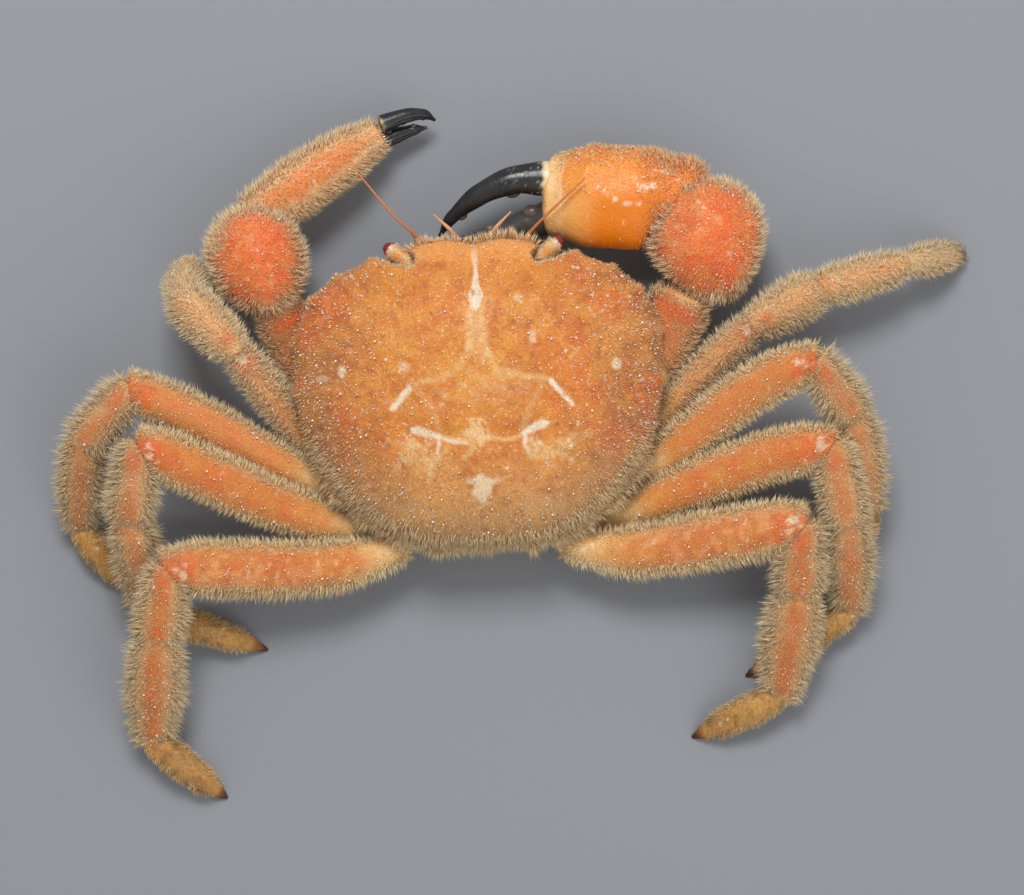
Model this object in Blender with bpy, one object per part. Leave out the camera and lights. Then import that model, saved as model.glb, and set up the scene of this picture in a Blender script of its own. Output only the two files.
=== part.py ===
"""A life-size still model of a hairy deep-water crab, resting on its belly with its legs folded.

The crab faces -Y, its left side is +X and up is +Z. The origin is the middle of the flat under the
folded tail, at floor level. Every size below is in millimetres and every angle in degrees. A limb is
a chain of articles: each has a length, a heading (0 straight out to the side, positive towards the
tail) and a pitch (positive upwards), and the last one comes down to the floor.
"""

import math
import random

import bmesh
import bpy
from mathutils import Vector
from mathutils.bvhtree import BVHTree
from mathutils.kdtree import KDTree

MM = 0.001
GAP = 0.3
SIDES = {"left": 1, "right": -1}
UP = Vector((0, 0, 1))

# Body
FRONT_Y = -20.4
REAR_Y = 19.6
PARTING_Z = 8.6
TOP_Z = 20.5
EDGE_Z_SIDE = 10.2
EDGE_Z_FRONT = 11.6
EDGE_Z_REAR = 10.8
LOWER_EDGE_SHARE = 0.955
BODY_SECTORS = 56
BELLY_SECTORS = 28
# Half of the carapace's outline, from the middle of the front to the middle of the rear.
HALF_OUTLINE = [
    (0.0, -20.3),
    (3.6, -20.9),
    (7.2, -20.4),
    (10.6, -18.9),
    (13.7, -18.6),
    (18.3, -16.6),
    (21.7, -14.0),
    (24.2, -9.0),
    (24.6, -2.4),
    (23.4, 4.0),
    (20.2, 10.4),
    (14.6, 16.0),
    (8.0, 19.2),
    (0.0, 19.6),
]
OUTLINE_END = len(HALF_OUTLINE) - 1
# Teeth of the front side margin, as places on HALF_OUTLINE counted in points.
TOOTH_PLACES = (4.0, 5.05, 6.1, 7.15, 8.15)
TOOTH_HEIGHT = 0.75
TOOTH_SPREAD = 0.16

# Walking legs: the lengths and half widths of their articles, and half thickness as a share of width.
LEG_ARTICLES = ("merus", "carpus", "propodus", "dactylus")
LEG_LENGTHS = {
    2: (20.6, 9.8, 13.2, 11.4),
    3: (31.0, 10.2, 14.2, 11.6),
    4: (33.2, 10.6, 15.0, 17.0),
    5: (31.8, 9.8, 15.4, 13.6),
}
LEG_HALF_WIDTHS = {
    2: (2.1, 2.75, 2.3, 1.85),
    3: (2.8, 2.45, 2.5, 1.8),
    4: (3.1, 2.6, 2.6, 1.95),
    5: (3.3, 2.9, 3.3, 2.05),
}
THICKNESS_SHARES = (0.7, 0.74, 0.64, 0.7)
# Each pose: where the merus starts, the headings and the pitches of the articles, and how far the
# merus bows towards the tail in its first and second halves. The dactylus reaches down to the floor.
LEG_POSES = {
    (2, "left"): ((22.9, 6.6, 3.9), (-57, -46, -85, 110), (36.5, -9, -65), (0.0, 0.0)),
    (2, "right"): ((22.9, 5.6, 4.2), (-44, -27, -14, -10), (14.5, -5, -6), (-0.4, -0.3)),
    (3, "left"): ((20.9, 11.9, 4.4), (-30, 46, 80, 125), (18, -15, -35), (0.0, -0.4)),
    (3, "right"): ((20.8, 12.0, 4.4), (-32, 54, 80, 108), (25, -28, -24), (-0.2, -1.6)),
    (4, "left"): ((16.6, 17.1, 4.8), (-23, 78, 97, 158), (20.5, -21, -31), (1.2, 0.0)),
    (4, "right"): ((16.1, 17.4, 4.7), (-16.5, 80, 86, 149), (15.5, -9, -34), (0.0, -1.2)),
    (5, "left"): ((11.2, 19.4, 7.1), (4, 78, 82, 137), (10.5, -12, -24), (1.9, 0.0)),
    (5, "right"): ((11.2, 20.0, 7.1), (-2, 94, 100, 155), (10, -19, -22), (1.9, -0.2)),
}
# Where each limb's stub starts inside the body; limb 1 is the claw.
COXA_STARTS = {
    1: (12.5, -2.6, 4.4),
    2: (12.5, 2.8, 4.2),
    3: (11.0, 7.4, 4.4),
    4: (9.0, 11.6, 4.4),
    5: (6.2, 14.2, 5.8),
}
TIP_HALF_WIDTH = 0.26
# How far the outer corner of a joint may reach past its middle, and how far back the slant of a
# joint is felt, both as shares of the half width there.
CORNER_REACH = 0.35
MITRE_REACH = 1.25

# Claws: the arm, the wrist's ellipsoid, the hand, and the two fingers' middle lines.
CLAWS = {
    "left": {
        "arm_start": (21.8, -1.8, 4.6),
        "arm_end": (26.7, -13.2, 8.3),
        "arm_half_width": 3.2,
        "wrist_centre": (29.0, -19.4, 9.6),
        "wrist_axes": (5.9, 7.0, 4.6),
        "wrist_heading": -74,
        "hand_start": (28.9, -26.0, 8.2),
        "hand_end": (12.6, -36.1, 5.3),
        "hand_half_widths": (2.5, 3.4, 3.1, 2.0),
        "hand_thickness": 0.82,
        "finger_line": [(11.9, -37.5, 5.9), (8.7, -38.6, 5.5), (6.2, -38.8, 4.8), (4.7, -38.1, 3.9)],
        "finger_half_widths": (1.3, 1.0, 0.75, 0.25),
        "thumb_line": [(13.4, -34.8, 5.0), (10.4, -36.0, 4.2), (7.8, -36.8, 3.8), (5.9, -37.1, 3.6)],
        "thumb_half_widths": (1.5, 1.15, 0.8, 0.25),
        "tooth_size": 0.42,
        "teeth": 2,
    },
    "right": {
        "arm_start": (22.2, -2.2, 4.6),
        "arm_end": (28.2, -12.6, 8.6),
        "arm_half_width": 3.8,
        "wrist_centre": (31.5, -20.0, 9.8),
        "wrist_axes": (7.1, 7.8, 5.6),
        "wrist_heading": -100,
        "hand_start": (27.0, -25.4, 8.6),
        "hand_end": (10.9, -26.9, 7.0),
        "hand_half_widths": (5.4, 6.9, 6.8, 5.4),
        "hand_thickness": 0.72,
        "finger_line": [
            (10.4, -29.1, 8.4),
            (5.7, -29.0, 8.8),
            (1.1, -27.3, 8.2),
            (-2.7, -24.6, 6.4),
            (-4.6, -22.2, 4.6),
        ],
        "finger_half_widths": (2.4, 1.95, 1.5, 0.92, 0.28),
        "thumb_line": [(12.4, -24.3, 5.2), (7.8, -23.5, 4.0), (3.0, -22.2, 3.4), (-2.1, -21.7, 3.6)],
        "thumb_half_widths": (3.2, 2.1, 1.4, 0.35),
        "tooth_size": 1.05,
        "teeth": 2,
    },
}

# Locks of bristles, the coarse form of the coat: length, half width and spacing on each article.
LOCK_SIZES = {
    "merus": (2.9, 1.4, 3.0),
    "carpus": (2.5, 1.2, 2.4),
    "propodus": (2.5, 1.2, 2.5),
    "arm": (2.4, 1.2, 2.6),
    "left_hand": (2.2, 1.2, 2.5),
    "right_hand": (1.3, 1.1, 2.4),
    "wrist": (2.5, 1.3, 2.5),
    "carapace": (2.2, 1.3, 2.4),
    "brow": (1.3, 0.8, 2.0),
}
# The stretch of each article that carries them, as shares of its length.
LOCK_SPANS = {"merus": (0.13, 0.95), "carpus": (0.15, 0.85), "propodus": (0.11, 0.88)}
LOCK_THICKNESS = 0.55
LOCK_SUNK = 0.85
LOCK_STATIONS = (0.4, 0.72, 1.0)
LOCK_STAGGER = 0.42
WRIST_TIER = 0.2
EDGE_TIER = 0.3
# Fringes of the carapace: first and last place on HALF_OUTLINE, and how the tips rise or droop.
EDGE_FRINGES = {"carapace": (9.6, 13.0, -0.35), "brow": (0.0, 1.9, 0.5)}
LOCK_CLEARANCE = 0.32
# The hand's hairy edges, as angles round its ring: the outer one only on the smooth right hand.
HAND_EDGES = {"left": (0.0, math.pi), "right": (0.0,)}


def clear_scene():
    for old in list(bpy.data.objects):
        bpy.data.objects.remove(old)


def material(name, colour, roughness, metallic=0.0):
    made = bpy.data.materials.new(name)
    made.use_nodes = True
    shader = made.node_tree.nodes["Principled BSDF"]
    shader.inputs["Base Color"].default_value = (*colour, 1)
    shader.inputs["Roughness"].default_value = roughness
    shader.inputs["Metallic"].default_value = metallic
    return made


def make_materials():
    return {
        "shell": material("carapace_orange", (0.80, 0.30, 0.07), 0.55),
        "leg": material("leg_orange", (0.80, 0.33, 0.14), 0.6),
        "pale": material("underside_cream", (0.82, 0.62, 0.36), 0.6),
        "foot": material("foot_yellow", (0.72, 0.42, 0.10), 0.5),
        "black": material("finger_black", (0.02, 0.02, 0.025), 0.3),
        "eye": material("eye_red", (0.30, 0.02, 0.03), 0.15),
        "feeler": material("feeler_pink", (0.78, 0.32, 0.18), 0.5),
    }


def on_side(point, side):
    """The point's mirror image on the right side, or the point itself on the left."""
    return Vector((point[0] * SIDES[side], point[1], point[2]))


def aim(heading, pitch, side):
    """The unit vector with this heading and pitch."""
    flat = math.cos(math.radians(pitch))
    out = math.cos(math.radians(heading)) * flat
    back = math.sin(math.radians(heading)) * flat
    return Vector((SIDES[side] * out, back, math.sin(math.radians(pitch))))


def between(stops, share):
    """A smooth value from (share, value) stops."""
    for (a, low), (b, high) in zip(stops, stops[1:]):
        if share <= b:
            part = (share - a) / (b - a)
            part = part * part * (3 - 2 * part)
            return low + (high - low) * part
    return stops[-1][1]


def even_stops(values):
    return [(i / (len(values) - 1), value) for i, value in enumerate(values)]


def spline(points, share):
    """A point on the smooth curve through the points, for a share from 0 to 1 of their count."""
    last = len(points) - 1
    place = min(max(share, 0.0), 1.0) * last
    i = min(int(place), last - 1)
    t = place - i
    p1, p2 = Vector(points[i]), Vector(points[i + 1])
    p0 = Vector(points[i - 1]) if i else p1 * 2 - p2
    p3 = Vector(points[i + 2]) if i + 2 <= last else p2 * 2 - p1
    turn = 2 * p0 - 5 * p1 + 4 * p2 - p3
    twist = 3 * p1 - p0 - 3 * p2 + p3
    return 0.5 * (2 * p1 + (p2 - p0) * t + turn * t**2 + twist * t**3)


def bmesh_object(name, bm, finish, smooth_angle=50):
    """A mesh object from a bmesh in millimetres."""
    bmesh.ops.scale(bm, vec=(MM, MM, MM), verts=bm.verts)
    bmesh.ops.recalc_face_normals(bm, faces=bm.faces)
    mesh = bpy.data.meshes.new(name)
    bm.to_mesh(mesh)
    bm.free()
    mesh.shade_smooth()
    mesh.set_sharp_from_angle(angle=math.radians(smooth_angle))
    mesh.materials.append(finish)
    made = bpy.data.objects.new(name, mesh)
    bpy.context.scene.collection.objects.link(made)
    return made


def skin_rings(bm, rings):
    """Closed faces over rings of points, each with as many points as the first, or one at a tip."""
    loops = [[bm.verts.new(p) for p in ring] for ring in rings]
    for low, high in zip(loops, loops[1:]):
        count = max(len(low), len(high))
        for i in range(count):
            j = (i + 1) % count
            if len(high) == 1:
                bm.faces.new((low[i], low[j], high[0]))
            elif len(low) == 1:
                bm.faces.new((low[0], high[j], high[i]))
            else:
                bm.faces.new((low[i], low[j], high[j], high[i]))
    for ring in (loops[0], loops[-1]):
        if len(ring) > 2:
            bm.faces.new(ring)


class Tube:
    """A limb's article: an oval tube round a curved line, whose ends lie in given planes."""

    def __init__(self, line, widths, thicknesses, start_normal=None, end_normal=None, squareness=1.0):
        self.line = line
        self.widths = widths
        self.thicknesses = thicknesses
        self.length = sum((line(i / 20) - line((i - 1) / 20)).length for i in range(1, 21))
        self.start_normal = start_normal or self.tangent(0)
        self.end_normal = end_normal or self.tangent(1)
        self.squareness = squareness

    def tangent(self, share):
        step = 0.02
        ahead, behind = min(share + step, 1), max(share - step, 0)
        return (self.line(ahead) - self.line(behind)).normalized()

    def axes(self, share):
        """The directions along, across and over the article."""
        along = self.tangent(share)
        across = along.cross(UP).normalized()
        return along, across, across.cross(along)

    def normal(self, share):
        """The normal of the ring's plane: square to the line, but turned to the joint at each end."""
        along = self.tangent(share)
        width = between(self.widths, share)
        result = along.copy()
        for normal, away in ((self.start_normal, share), (self.end_normal, 1 - share)):
            lean = min(along.angle(normal), 1.0)
            reach = max(MITRE_REACH * width * math.tan(lean), 0.3)
            hold = max(0.0, 1 - away * self.length / reach)
            result = result + (normal - along) * hold
        return result.normalized()

    def point(self, share, angle, grow=0.0):
        """A point of the ring at this share of the line; grow makes the ring larger."""
        along, across, over = self.axes(share)
        normal = self.normal(share)
        width = between(self.widths, share) + grow
        thick = between(self.thicknesses, share) + grow
        c, s = math.cos(angle), math.sin(angle)
        power = self.squareness
        offset = across * (width * math.copysign(abs(c) ** power, c))
        offset += over * (thick * math.copysign(abs(s) ** power, s))
        shift = offset.dot(normal) / max(along.dot(normal), 0.3)
        # The outer side of a sharp joint stops short of its corner, which leaves the joint blunt.
        reach = CORNER_REACH * width
        shift = min(shift, reach) if share < 0.5 else max(shift, -reach)
        return self.line(share) + offset - along * shift

    def ring(self, share, sides, grow=0.0):
        return [self.point(share, math.tau * i / sides, grow) for i in range(sides)]

    def rings(self, stations, sides, grow=0.0):
        return [self.ring(share, sides, grow) for share in stations]


def straight(start, end, bows=(0.0, 0.0), sag=0.0):
    """The line from start to end, bowed towards the tail in each half, and upwards by sag."""
    start, end = Vector(start), Vector(end)

    def line(share):
        rest = 1 - share
        bow = 6.75 * share * rest * (bows[0] * rest + bows[1] * share)
        return start.lerp(end, share) + Vector((0, bow, 4 * share * rest * sag))

    return line


def above_floor(rings):
    """The same rings with nothing under the floor, which leaves a small flat where they meet it."""
    return [[Vector((p.x, p.y, max(p.z, 0.0))) for p in ring] for ring in rings]


def mitre(before, after):
    return (before.normalized() + after.normalized()).normalized()


def drawn_back(point, along, normal):
    """The point moved back along a line, so that half the gap is left in front of the joint's plane."""
    return point - along * (GAP / 2 / max(abs(along.dot(normal)), 0.4))


class Model:
    """The nodes made so far, and the locks that each is to get."""

    def __init__(self):
        self.finish = make_materials()
        self.objects = {}
        self.locks = {}

    def add(self, name, rings, finish, locks=(), on_floor=True):
        bm = bmesh.new()
        skin_rings(bm, above_floor(rings) if on_floor else rings)
        self.objects[name] = bmesh_object(name, bm, self.finish[finish])
        self.locks[name] = list(locks)
        return self.objects[name]


def boolean(target, others, operation, solver="EXACT"):
    """Applies one Boolean with all the others to the target, and removes them."""
    group = bpy.data.collections.new("pieces")
    bpy.context.scene.collection.children.link(group)
    for other in others:
        for home in list(other.users_collection):
            home.objects.unlink(other)
        group.objects.link(other)
    change = target.modifiers.new("join", "BOOLEAN")
    change.operand_type = "COLLECTION"
    change.collection = group
    change.operation = operation
    change.solver = solver
    graph = bpy.context.evaluated_depsgraph_get()
    graph.update()
    result = bpy.data.meshes.new_from_object(target.evaluated_get(graph))
    target.modifiers.remove(change)
    target.data = result
    for other in others:
        bpy.data.objects.remove(other)
    bpy.data.collections.remove(group)
    keep_largest(target)


def keep_largest(target):
    """Leaves only the target's largest closed surface."""
    bm = bmesh.new()
    bm.from_mesh(target.data)
    left = set(bm.verts)
    islands = []
    while left:
        stack = [left.pop()]
        island = []
        while stack:
            vertex = stack.pop()
            island.append(vertex)
            for edge in vertex.link_edges:
                other = edge.other_vert(vertex)
                if other in left:
                    left.remove(other)
                    stack.append(other)
        islands.append(island)
    islands.sort(key=len)
    for island in islands[:-1]:
        bmesh.ops.delete(bm, geom=island, context="VERTS")
    bm.to_mesh(target.data)
    bm.free()


# Body


def tooth_lift(place):
    return sum(
        TOOTH_HEIGHT * math.exp(-(((place - tooth) / TOOTH_SPREAD) ** 2)) for tooth in TOOTH_PLACES
    )


def outward_normal(ahead):
    """The level direction out of the body, for a step ahead along the left half of its outline."""
    return Vector((ahead.y, -ahead.x, 0)).normalized()


def outline_half(place):
    """A point of the half outline, for a place counted in points of HALF_OUTLINE."""
    points = [(x, y, 0) for x, y in HALF_OUTLINE]
    here = spline(points, place / OUTLINE_END)
    ahead = spline(points, (place + 0.1) / OUTLINE_END) - spline(points, (place - 0.1) / OUTLINE_END)
    return here + outward_normal(ahead) * tooth_lift(place)


def outline(sectors):
    """The whole outline, from the middle of the front round the left side and back up the right."""
    half = [outline_half(OUTLINE_END * i / (sectors // 2)) for i in range(sectors // 2 + 1)]
    half[0].x = half[-1].x = 0.0
    other = [Vector((-p.x, p.y, p.z)) for p in reversed(half[1:-1])]
    return half + other


def edge_height(point):
    """The height of the carapace's edge above the floor at this point of the outline."""
    forward = max(0.0, -point.y / -FRONT_Y) ** 3
    backward = max(0.0, point.y / REAR_Y) ** 3
    return EDGE_Z_SIDE + (EDGE_Z_FRONT - EDGE_Z_SIDE) * forward + (EDGE_Z_REAR - EDGE_Z_SIDE) * backward


def swelling(x, y, centre_x, centre_y, reach_x, reach_y, height):
    return height * math.exp(-(((abs(x) - centre_x) / reach_x) ** 2) - ((y - centre_y) / reach_y) ** 2)


def relief(x, y):
    """The carapace's regions: swellings over the stomach, gills and heart, and the grooves between."""
    lobes = (
        (0.0, -9.0, 5.5, 5.0, 0.25),
        (8.0, -8.0, 5.0, 5.0, 0.35),
        (15.0, 2.0, 5.5, 7.5, 0.45),
        (17.0, -10.0, 4.0, 3.5, 0.25),
        (0.0, 9.5, 4.0, 3.5, 0.4),
        (0.0, 1.0, 4.5, 3.0, 0.3),
    )
    grooves = ((9.8, 1.0, 1.4, 3.2, -0.5), (6.0, 5.0, 3.4, 1.1, -0.4), (6.4, 10.0, 1.4, 3.6, -0.3))
    return sum(swelling(x, y, *shape) for shape in lobes + grooves)


def dome_height(point, share):
    """The height of the carapace's top at this share of the way from its middle to the edge point."""
    edge = edge_height(point)
    rise = (1 - share**3.0) ** 0.62
    fade = 1 - share**6
    return edge + (TOP_Z - edge) * rise + relief(point.x * share, point.y * share) * fade


def build_carapace(model):
    edge = outline(BODY_SECTORS)
    rings = [[Vector((0, 0, dome_height(edge[0], 0.0)))]]
    for share in (0.2, 0.42, 0.62, 0.78, 0.89, 0.96, 1.0):
        rings.append([Vector((p.x * share, p.y * share, dome_height(p, share))) for p in edge])
    lower = LOWER_EDGE_SHARE
    rings.append([Vector((p.x * 0.99, p.y * 0.99, 0.5 * (edge_height(p) + PARTING_Z))) for p in edge])
    rings.append([Vector((p.x * lower, p.y * lower, PARTING_Z)) for p in edge])
    return model.add("carapace", rings, "shell", carapace_locks(), on_floor=False)


def carapace_locks():
    """The fringe of the rear edge, and a shorter one at the middle of the front, in two tiers."""
    draw = random.Random("carapace")
    made = []
    for kind, (first, last, droop) in EDGE_FRINGES.items():
        sizes = LOCK_SIZES[kind]
        count = round((outline_half(last) - outline_half(first)).length / sizes[2])
        places = [first + (last - first) * (i + 0.5) / count for i in range(count)]
        for side in SIDES:
            for i, place in enumerate(places):
                here = outline_half(place)
                ahead = outline_half(place + 0.05) - outline_half(place - 0.05)
                along = on_side(ahead, side).normalized()
                outward = on_side(outward_normal(ahead), side)
                tier = EDGE_TIER if i % 2 else -EDGE_TIER
                height = 0.5 * (PARTING_Z + edge_height(here)) + tier
                root = on_side((here.x, here.y, height), side) - outward * 0.4
                tip_aim = outward + UP * droop
                made.append(Lock(root, outward, tip_aim, along, sizes, draw))
    return made


def build_underside(model):
    """The lower half of the body: sloping sides, breastplate and the stubs that carry the limbs."""
    top = PARTING_Z - GAP
    edge = outline(BELLY_SECTORS)
    levels = (
        (top, LOWER_EDGE_SHARE, LOWER_EDGE_SHARE, 0.0),
        (7.3, 0.86, 0.90, 0.3),
        (5.6, 0.69, 0.81, 0.9),
        (3.4, 0.57, 0.72, 1.5),
        (1.4, 0.50, 0.64, 2.0),
        (0.4, 0.45, 0.58, 2.4),
        (0.0, 0.40, 0.53, 2.6),
    )
    rings = [[Vector((p.x * wide, p.y * long + back, z)) for p in edge] for z, wide, long, back in levels]
    belly = model.add("underside", rings, "pale", on_floor=True)
    stubs = []
    for (number, side), start in limb_starts().items():
        root, along = start
        inner = on_side(COXA_STARTS[number], side)
        end_normal = mitre(root - inner, along)
        width = 2.3 if number == 1 else 1.8
        tube = Tube(
            straight(inner, drawn_back(root, (root - inner).normalized(), end_normal)),
            [(0, width * 1.15), (1, width)],
            [(0, width), (1, width * 0.8)],
            end_normal=end_normal,
        )
        bm = bmesh.new()
        skin_rings(bm, tube.rings((0, 1), 8))
        stubs.append(bmesh_object(f"stub_{number}_{side}", bm, model.finish["pale"]))
    boolean(belly, stubs, "UNION")


def limb_starts():
    """Where each limb leaves its stub on the body, and the direction in which it goes."""
    starts = {}
    for (number, side), (root, headings, pitches, _) in LEG_POSES.items():
        starts[(number, side)] = (on_side(root, side), aim(headings[0], pitches[0], side))
    for side, claw in CLAWS.items():
        start, end = on_side(claw["arm_start"], side), on_side(claw["arm_end"], side)
        starts[(1, side)] = (start, (end - start).normalized())
    return starts


# The middle line of the folded tail, from the rear edge forward to its tip under the breastplate.
TAIL_PATH = [(0, 18.6, 7.2), (0, 18.2, 4.6), (0, 16.2, 1.9), (0, 12.0, 0.7), (0, 4.0, 0.5), (0, -6.0, 0.5)]
TAIL_HALF_WIDTHS = (5.2, 5.0, 4.4, 3.2, 2.2, 1.2)
TAIL_HALF_THICKNESSES = (0.6, 0.7, 0.7, 0.7, 0.7, 0.6)


def build_tail(model):
    """The narrow abdomen, folded forward under the body in a groove of its own."""
    tube = Tube(
        lambda share: spline(TAIL_PATH, share),
        even_stops(TAIL_HALF_WIDTHS),
        even_stops(TAIL_HALF_THICKNESSES),
        squareness=0.6,
    )
    stations = [i / 8 for i in range(9)]
    model.add("abdomen", tube.rings(stations, 8), "pale")
    cut_socket(model, tube, stations, 8, "underside")


def cut_socket(model, tube, stations, sides, *nodes):
    """Cuts the tube's shape, made larger by the gap, out of the nodes that it is set in."""
    for node in nodes:
        bm = bmesh.new()
        rings = tube.rings(stations, sides, grow=GAP / math.cos(math.pi / sides))
        first, last = -tube.tangent(stations[0]) * GAP, tube.tangent(stations[-1]) * GAP
        skin_rings(bm, [[p + first for p in rings[0]], *rings, [p + last for p in rings[-1]]])
        boolean(model.objects[node], [bmesh_object("socket", bm, model.finish["pale"])], "DIFFERENCE")


MOUTHPART_PATH = [(2.9, -8.4, 1.0), (3.0, -11.0, 1.9), (3.05, -13.2, 3.7), (3.1, -15.9, 5.7)]


def build_mouth(model):
    """The pair of flat outer mouthparts that close the mouth like doors."""
    for side in SIDES:
        path = [on_side(p, side) for p in MOUTHPART_PATH]
        tube = Tube(
            lambda share, path=path: spline(path, share),
            even_stops((2.0, 2.5, 2.6, 2.2)),
            even_stops((0.8, 0.9, 0.9, 0.7)),
            squareness=0.7,
        )
        stations = (0, 0.25, 0.5, 0.56, 0.62, 0.85, 1)
        model.add(f"mouthpart_{side}", tube.rings(stations, 8), "pale")
        cut_socket(model, tube, stations, 8, "underside")


def build_eyes(model):
    """Each eye: a short stalk in its orbit, with a rounded cornea at the outer end."""
    for side in SIDES:
        inner, outer = on_side((7.9, -17.7, 10.0), side), on_side((11.7, -20.6, 10.7), side)
        tube = Tube(
            straight(inner, outer),
            [(0, 0.75), (0.45, 0.95), (0.62, 0.9), (0.78, 1.08), (0.92, 0.8), (1, 0.3)],
            [(0, 0.75), (0.45, 0.9), (0.62, 0.85), (0.78, 1.05), (0.92, 0.75), (1, 0.3)],
        )
        orbit = Tube(
            straight(on_side((8.6, -18.4, 10.3), side), on_side((14.0, -21.6, 10.8), side)),
            even_stops((1.5, 2.3, 2.3, 1.6)),
            even_stops((1.4, 1.75, 1.75, 1.3)),
        )
        bm = bmesh.new()
        skin_rings(bm, orbit.rings((0, 0.15, 0.4, 0.7, 1), 10))
        boolean(model.objects["carapace"], [bmesh_object("orbit", bm, model.finish["shell"])], "DIFFERENCE")
        stations = (0, 0.25, 0.45, 0.62, 0.78, 0.92, 1)
        cut_socket(model, tube, stations[:3], 10, "carapace")
        model.add(f"eye_{side}", tube.rings(stations, 10), "eye")


# Each feeler's middle line, given for the left side, and its half widths.
FEELERS = {
    ("antenna", "left"): (
        [(7.0, -17.8, 6.6), (7.3, -20.6, 7.8), (8.0, -22.2, 9.5), (10.8, -25.0, 11.3), (15.0, -30.4, 12.8)],
        (0.75, 0.7, 0.34, 0.3, 0.25),
    ),
    ("antenna", "right"): (
        [(7.0, -17.8, 6.6), (7.3, -20.6, 7.8), (8.0, -22.2, 9.5), (11.4, -25.2, 12.4), (15.2, -28.4, 14.0)],
        (0.75, 0.7, 0.34, 0.3, 0.25),
    ),
    ("antennule", "left"): (
        [(1.9, -18.0, 7.3), (2.1, -20.7, 8.1), (2.9, -22.4, 9.5), (5.2, -24.7, 10.2)],
        (0.7, 0.6, 0.45, 0.26),
    ),
    ("antennule", "right"): (
        [(1.9, -18.0, 7.3), (2.1, -20.7, 8.1), (2.9, -22.4, 9.5), (5.2, -24.7, 10.2)],
        (0.7, 0.6, 0.45, 0.26),
    ),
}
FEELER_STATIONS = (0, 0.16, 0.3, 0.4, 0.6, 0.8, 1)
FEELER_SIDES = 6


def build_feelers(model):
    """The long antennae and the short antennules between them, each set in the body's front."""
    for (kind, side), (path, half_widths) in FEELERS.items():
        points = [on_side(p, side) for p in path]
        stops = even_stops(half_widths)
        tube = Tube(lambda share, points=points: spline(points, share), stops, stops)
        cut_socket(model, tube, FEELER_STATIONS[:5], FEELER_SIDES, "underside")
        rings = tube.rings(FEELER_STATIONS, FEELER_SIDES)
        model.add(f"{kind}_{side}", rings, "feeler", on_floor=False)


# Locks


class Lock:
    """A flat, pointed lock of bristles that grows outward and bends over towards its tip."""

    def __init__(self, root, outward, tip_aim, wide, sizes, draw):
        self.root = root
        self.outward = outward.normalized()
        self.tip_aim = tip_aim.normalized()
        self.wide = (wide - self.outward * wide.dot(self.outward)).normalized()
        self.thin = self.wide.cross(self.outward)
        self.length = sizes[0] * draw.uniform(0.88, 1.12)
        self.half_width = sizes[1]

    def centre(self, along, scale):
        bent = 0.5 * along * abs(along)
        return self.root + (self.outward * (along - bent) + self.tip_aim * bent) * (self.length * scale)

    def ring(self, along, scale):
        """The three corners of the lock at this share of its length, or its point at the tip."""
        centre = self.centre(along, scale)
        if along >= 1:
            return [centre]
        out = max(along, 0.0)
        wide = self.wide * (self.half_width * (1 - out**1.8))
        thin = self.thin * (LOCK_THICKNESS * 0.5 * (1 - 0.4 * out))
        return [centre + wide - thin, centre - wide - thin, centre + thin]

    def mesh(self, scale):
        sunk = -LOCK_SUNK / (self.length * scale)
        bm = bmesh.new()
        skin_rings(bm, [self.ring(along, scale) for along in (sunk, *LOCK_STATIONS)])
        return bm

    def samples(self, scale):
        """Points all over the lock, close enough together to measure its clearance by."""
        points = []
        sunk = -LOCK_SUNK / (self.length * scale)
        for along in (sunk, *(step / 6 for step in range(7))):
            centre = self.centre(along, scale)
            for corner in self.ring(along, scale):
                points += [centre, centre.lerp(corner, 0.5), corner]
        return points


def edge_locks(tube, span, kind, seed, edges=(0.0, math.pi)):
    """Two tiers of locks along the edges of an article, leaning to its far end."""
    draw = random.Random(seed)
    sizes = LOCK_SIZES[kind]
    first, last = span
    count = max(2, 1 + round(tube.length * (last - first) / sizes[2]))
    made = []
    for edge in edges:
        for i in range(count):
            share = first + (last - first) * i / (count - 1)
            along, across, over = tube.axes(share)
            turn = LOCK_STAGGER if i % 2 else -LOCK_STAGGER
            root = tube.point(share, edge + turn)
            away = (root - tube.line(share)).normalized()
            outward = away + along * draw.uniform(0.35, 0.6)
            tip_aim = away + along * draw.uniform(1.1, 1.7) - UP * draw.uniform(0.0, 0.3)
            made.append(Lock(root, outward, tip_aim, along, sizes, draw))
    return made


def plant_locks(model):
    """Fuses each node's locks to it, shorter or not at all where they would come near another node."""
    graph = bpy.context.evaluated_depsgraph_get()
    surfaces = {name: BVHTree.FromObject(made, graph) for name, made in model.objects.items()}
    placed = []
    for name, locks in model.locks.items():
        others = [tree for other, tree in surfaces.items() if other != name]
        taken = KDTree(len(placed))
        for i, point in enumerate(placed):
            taken.insert(point, i)
        taken.balance()
        kept = []
        for number, lock in enumerate(locks):
            for scale in (1.0, 0.82, 0.64):
                if is_clear(lock.samples(scale), others, taken):
                    kept.append(bmesh_object(f"lock_{number}", lock.mesh(scale), model.finish["leg"]))
                    placed += lock.samples(scale)
                    break
        if kept:
            boolean(model.objects[name], kept, "UNION")


def is_clear(points, surfaces, taken):
    """Whether the points keep clear of the floor, of the other nodes and of the locks on them."""
    for point in points:
        if point.z < 0.1:
            return False
        if any(tree.find_nearest(point * MM, LOCK_CLEARANCE * MM)[0] is not None for tree in surfaces):
            return False
        distance = taken.find(point)[2]
        if distance is not None and distance < 2.5 * LOCK_CLEARANCE:
            return False
    return True


# Walking legs

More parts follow.
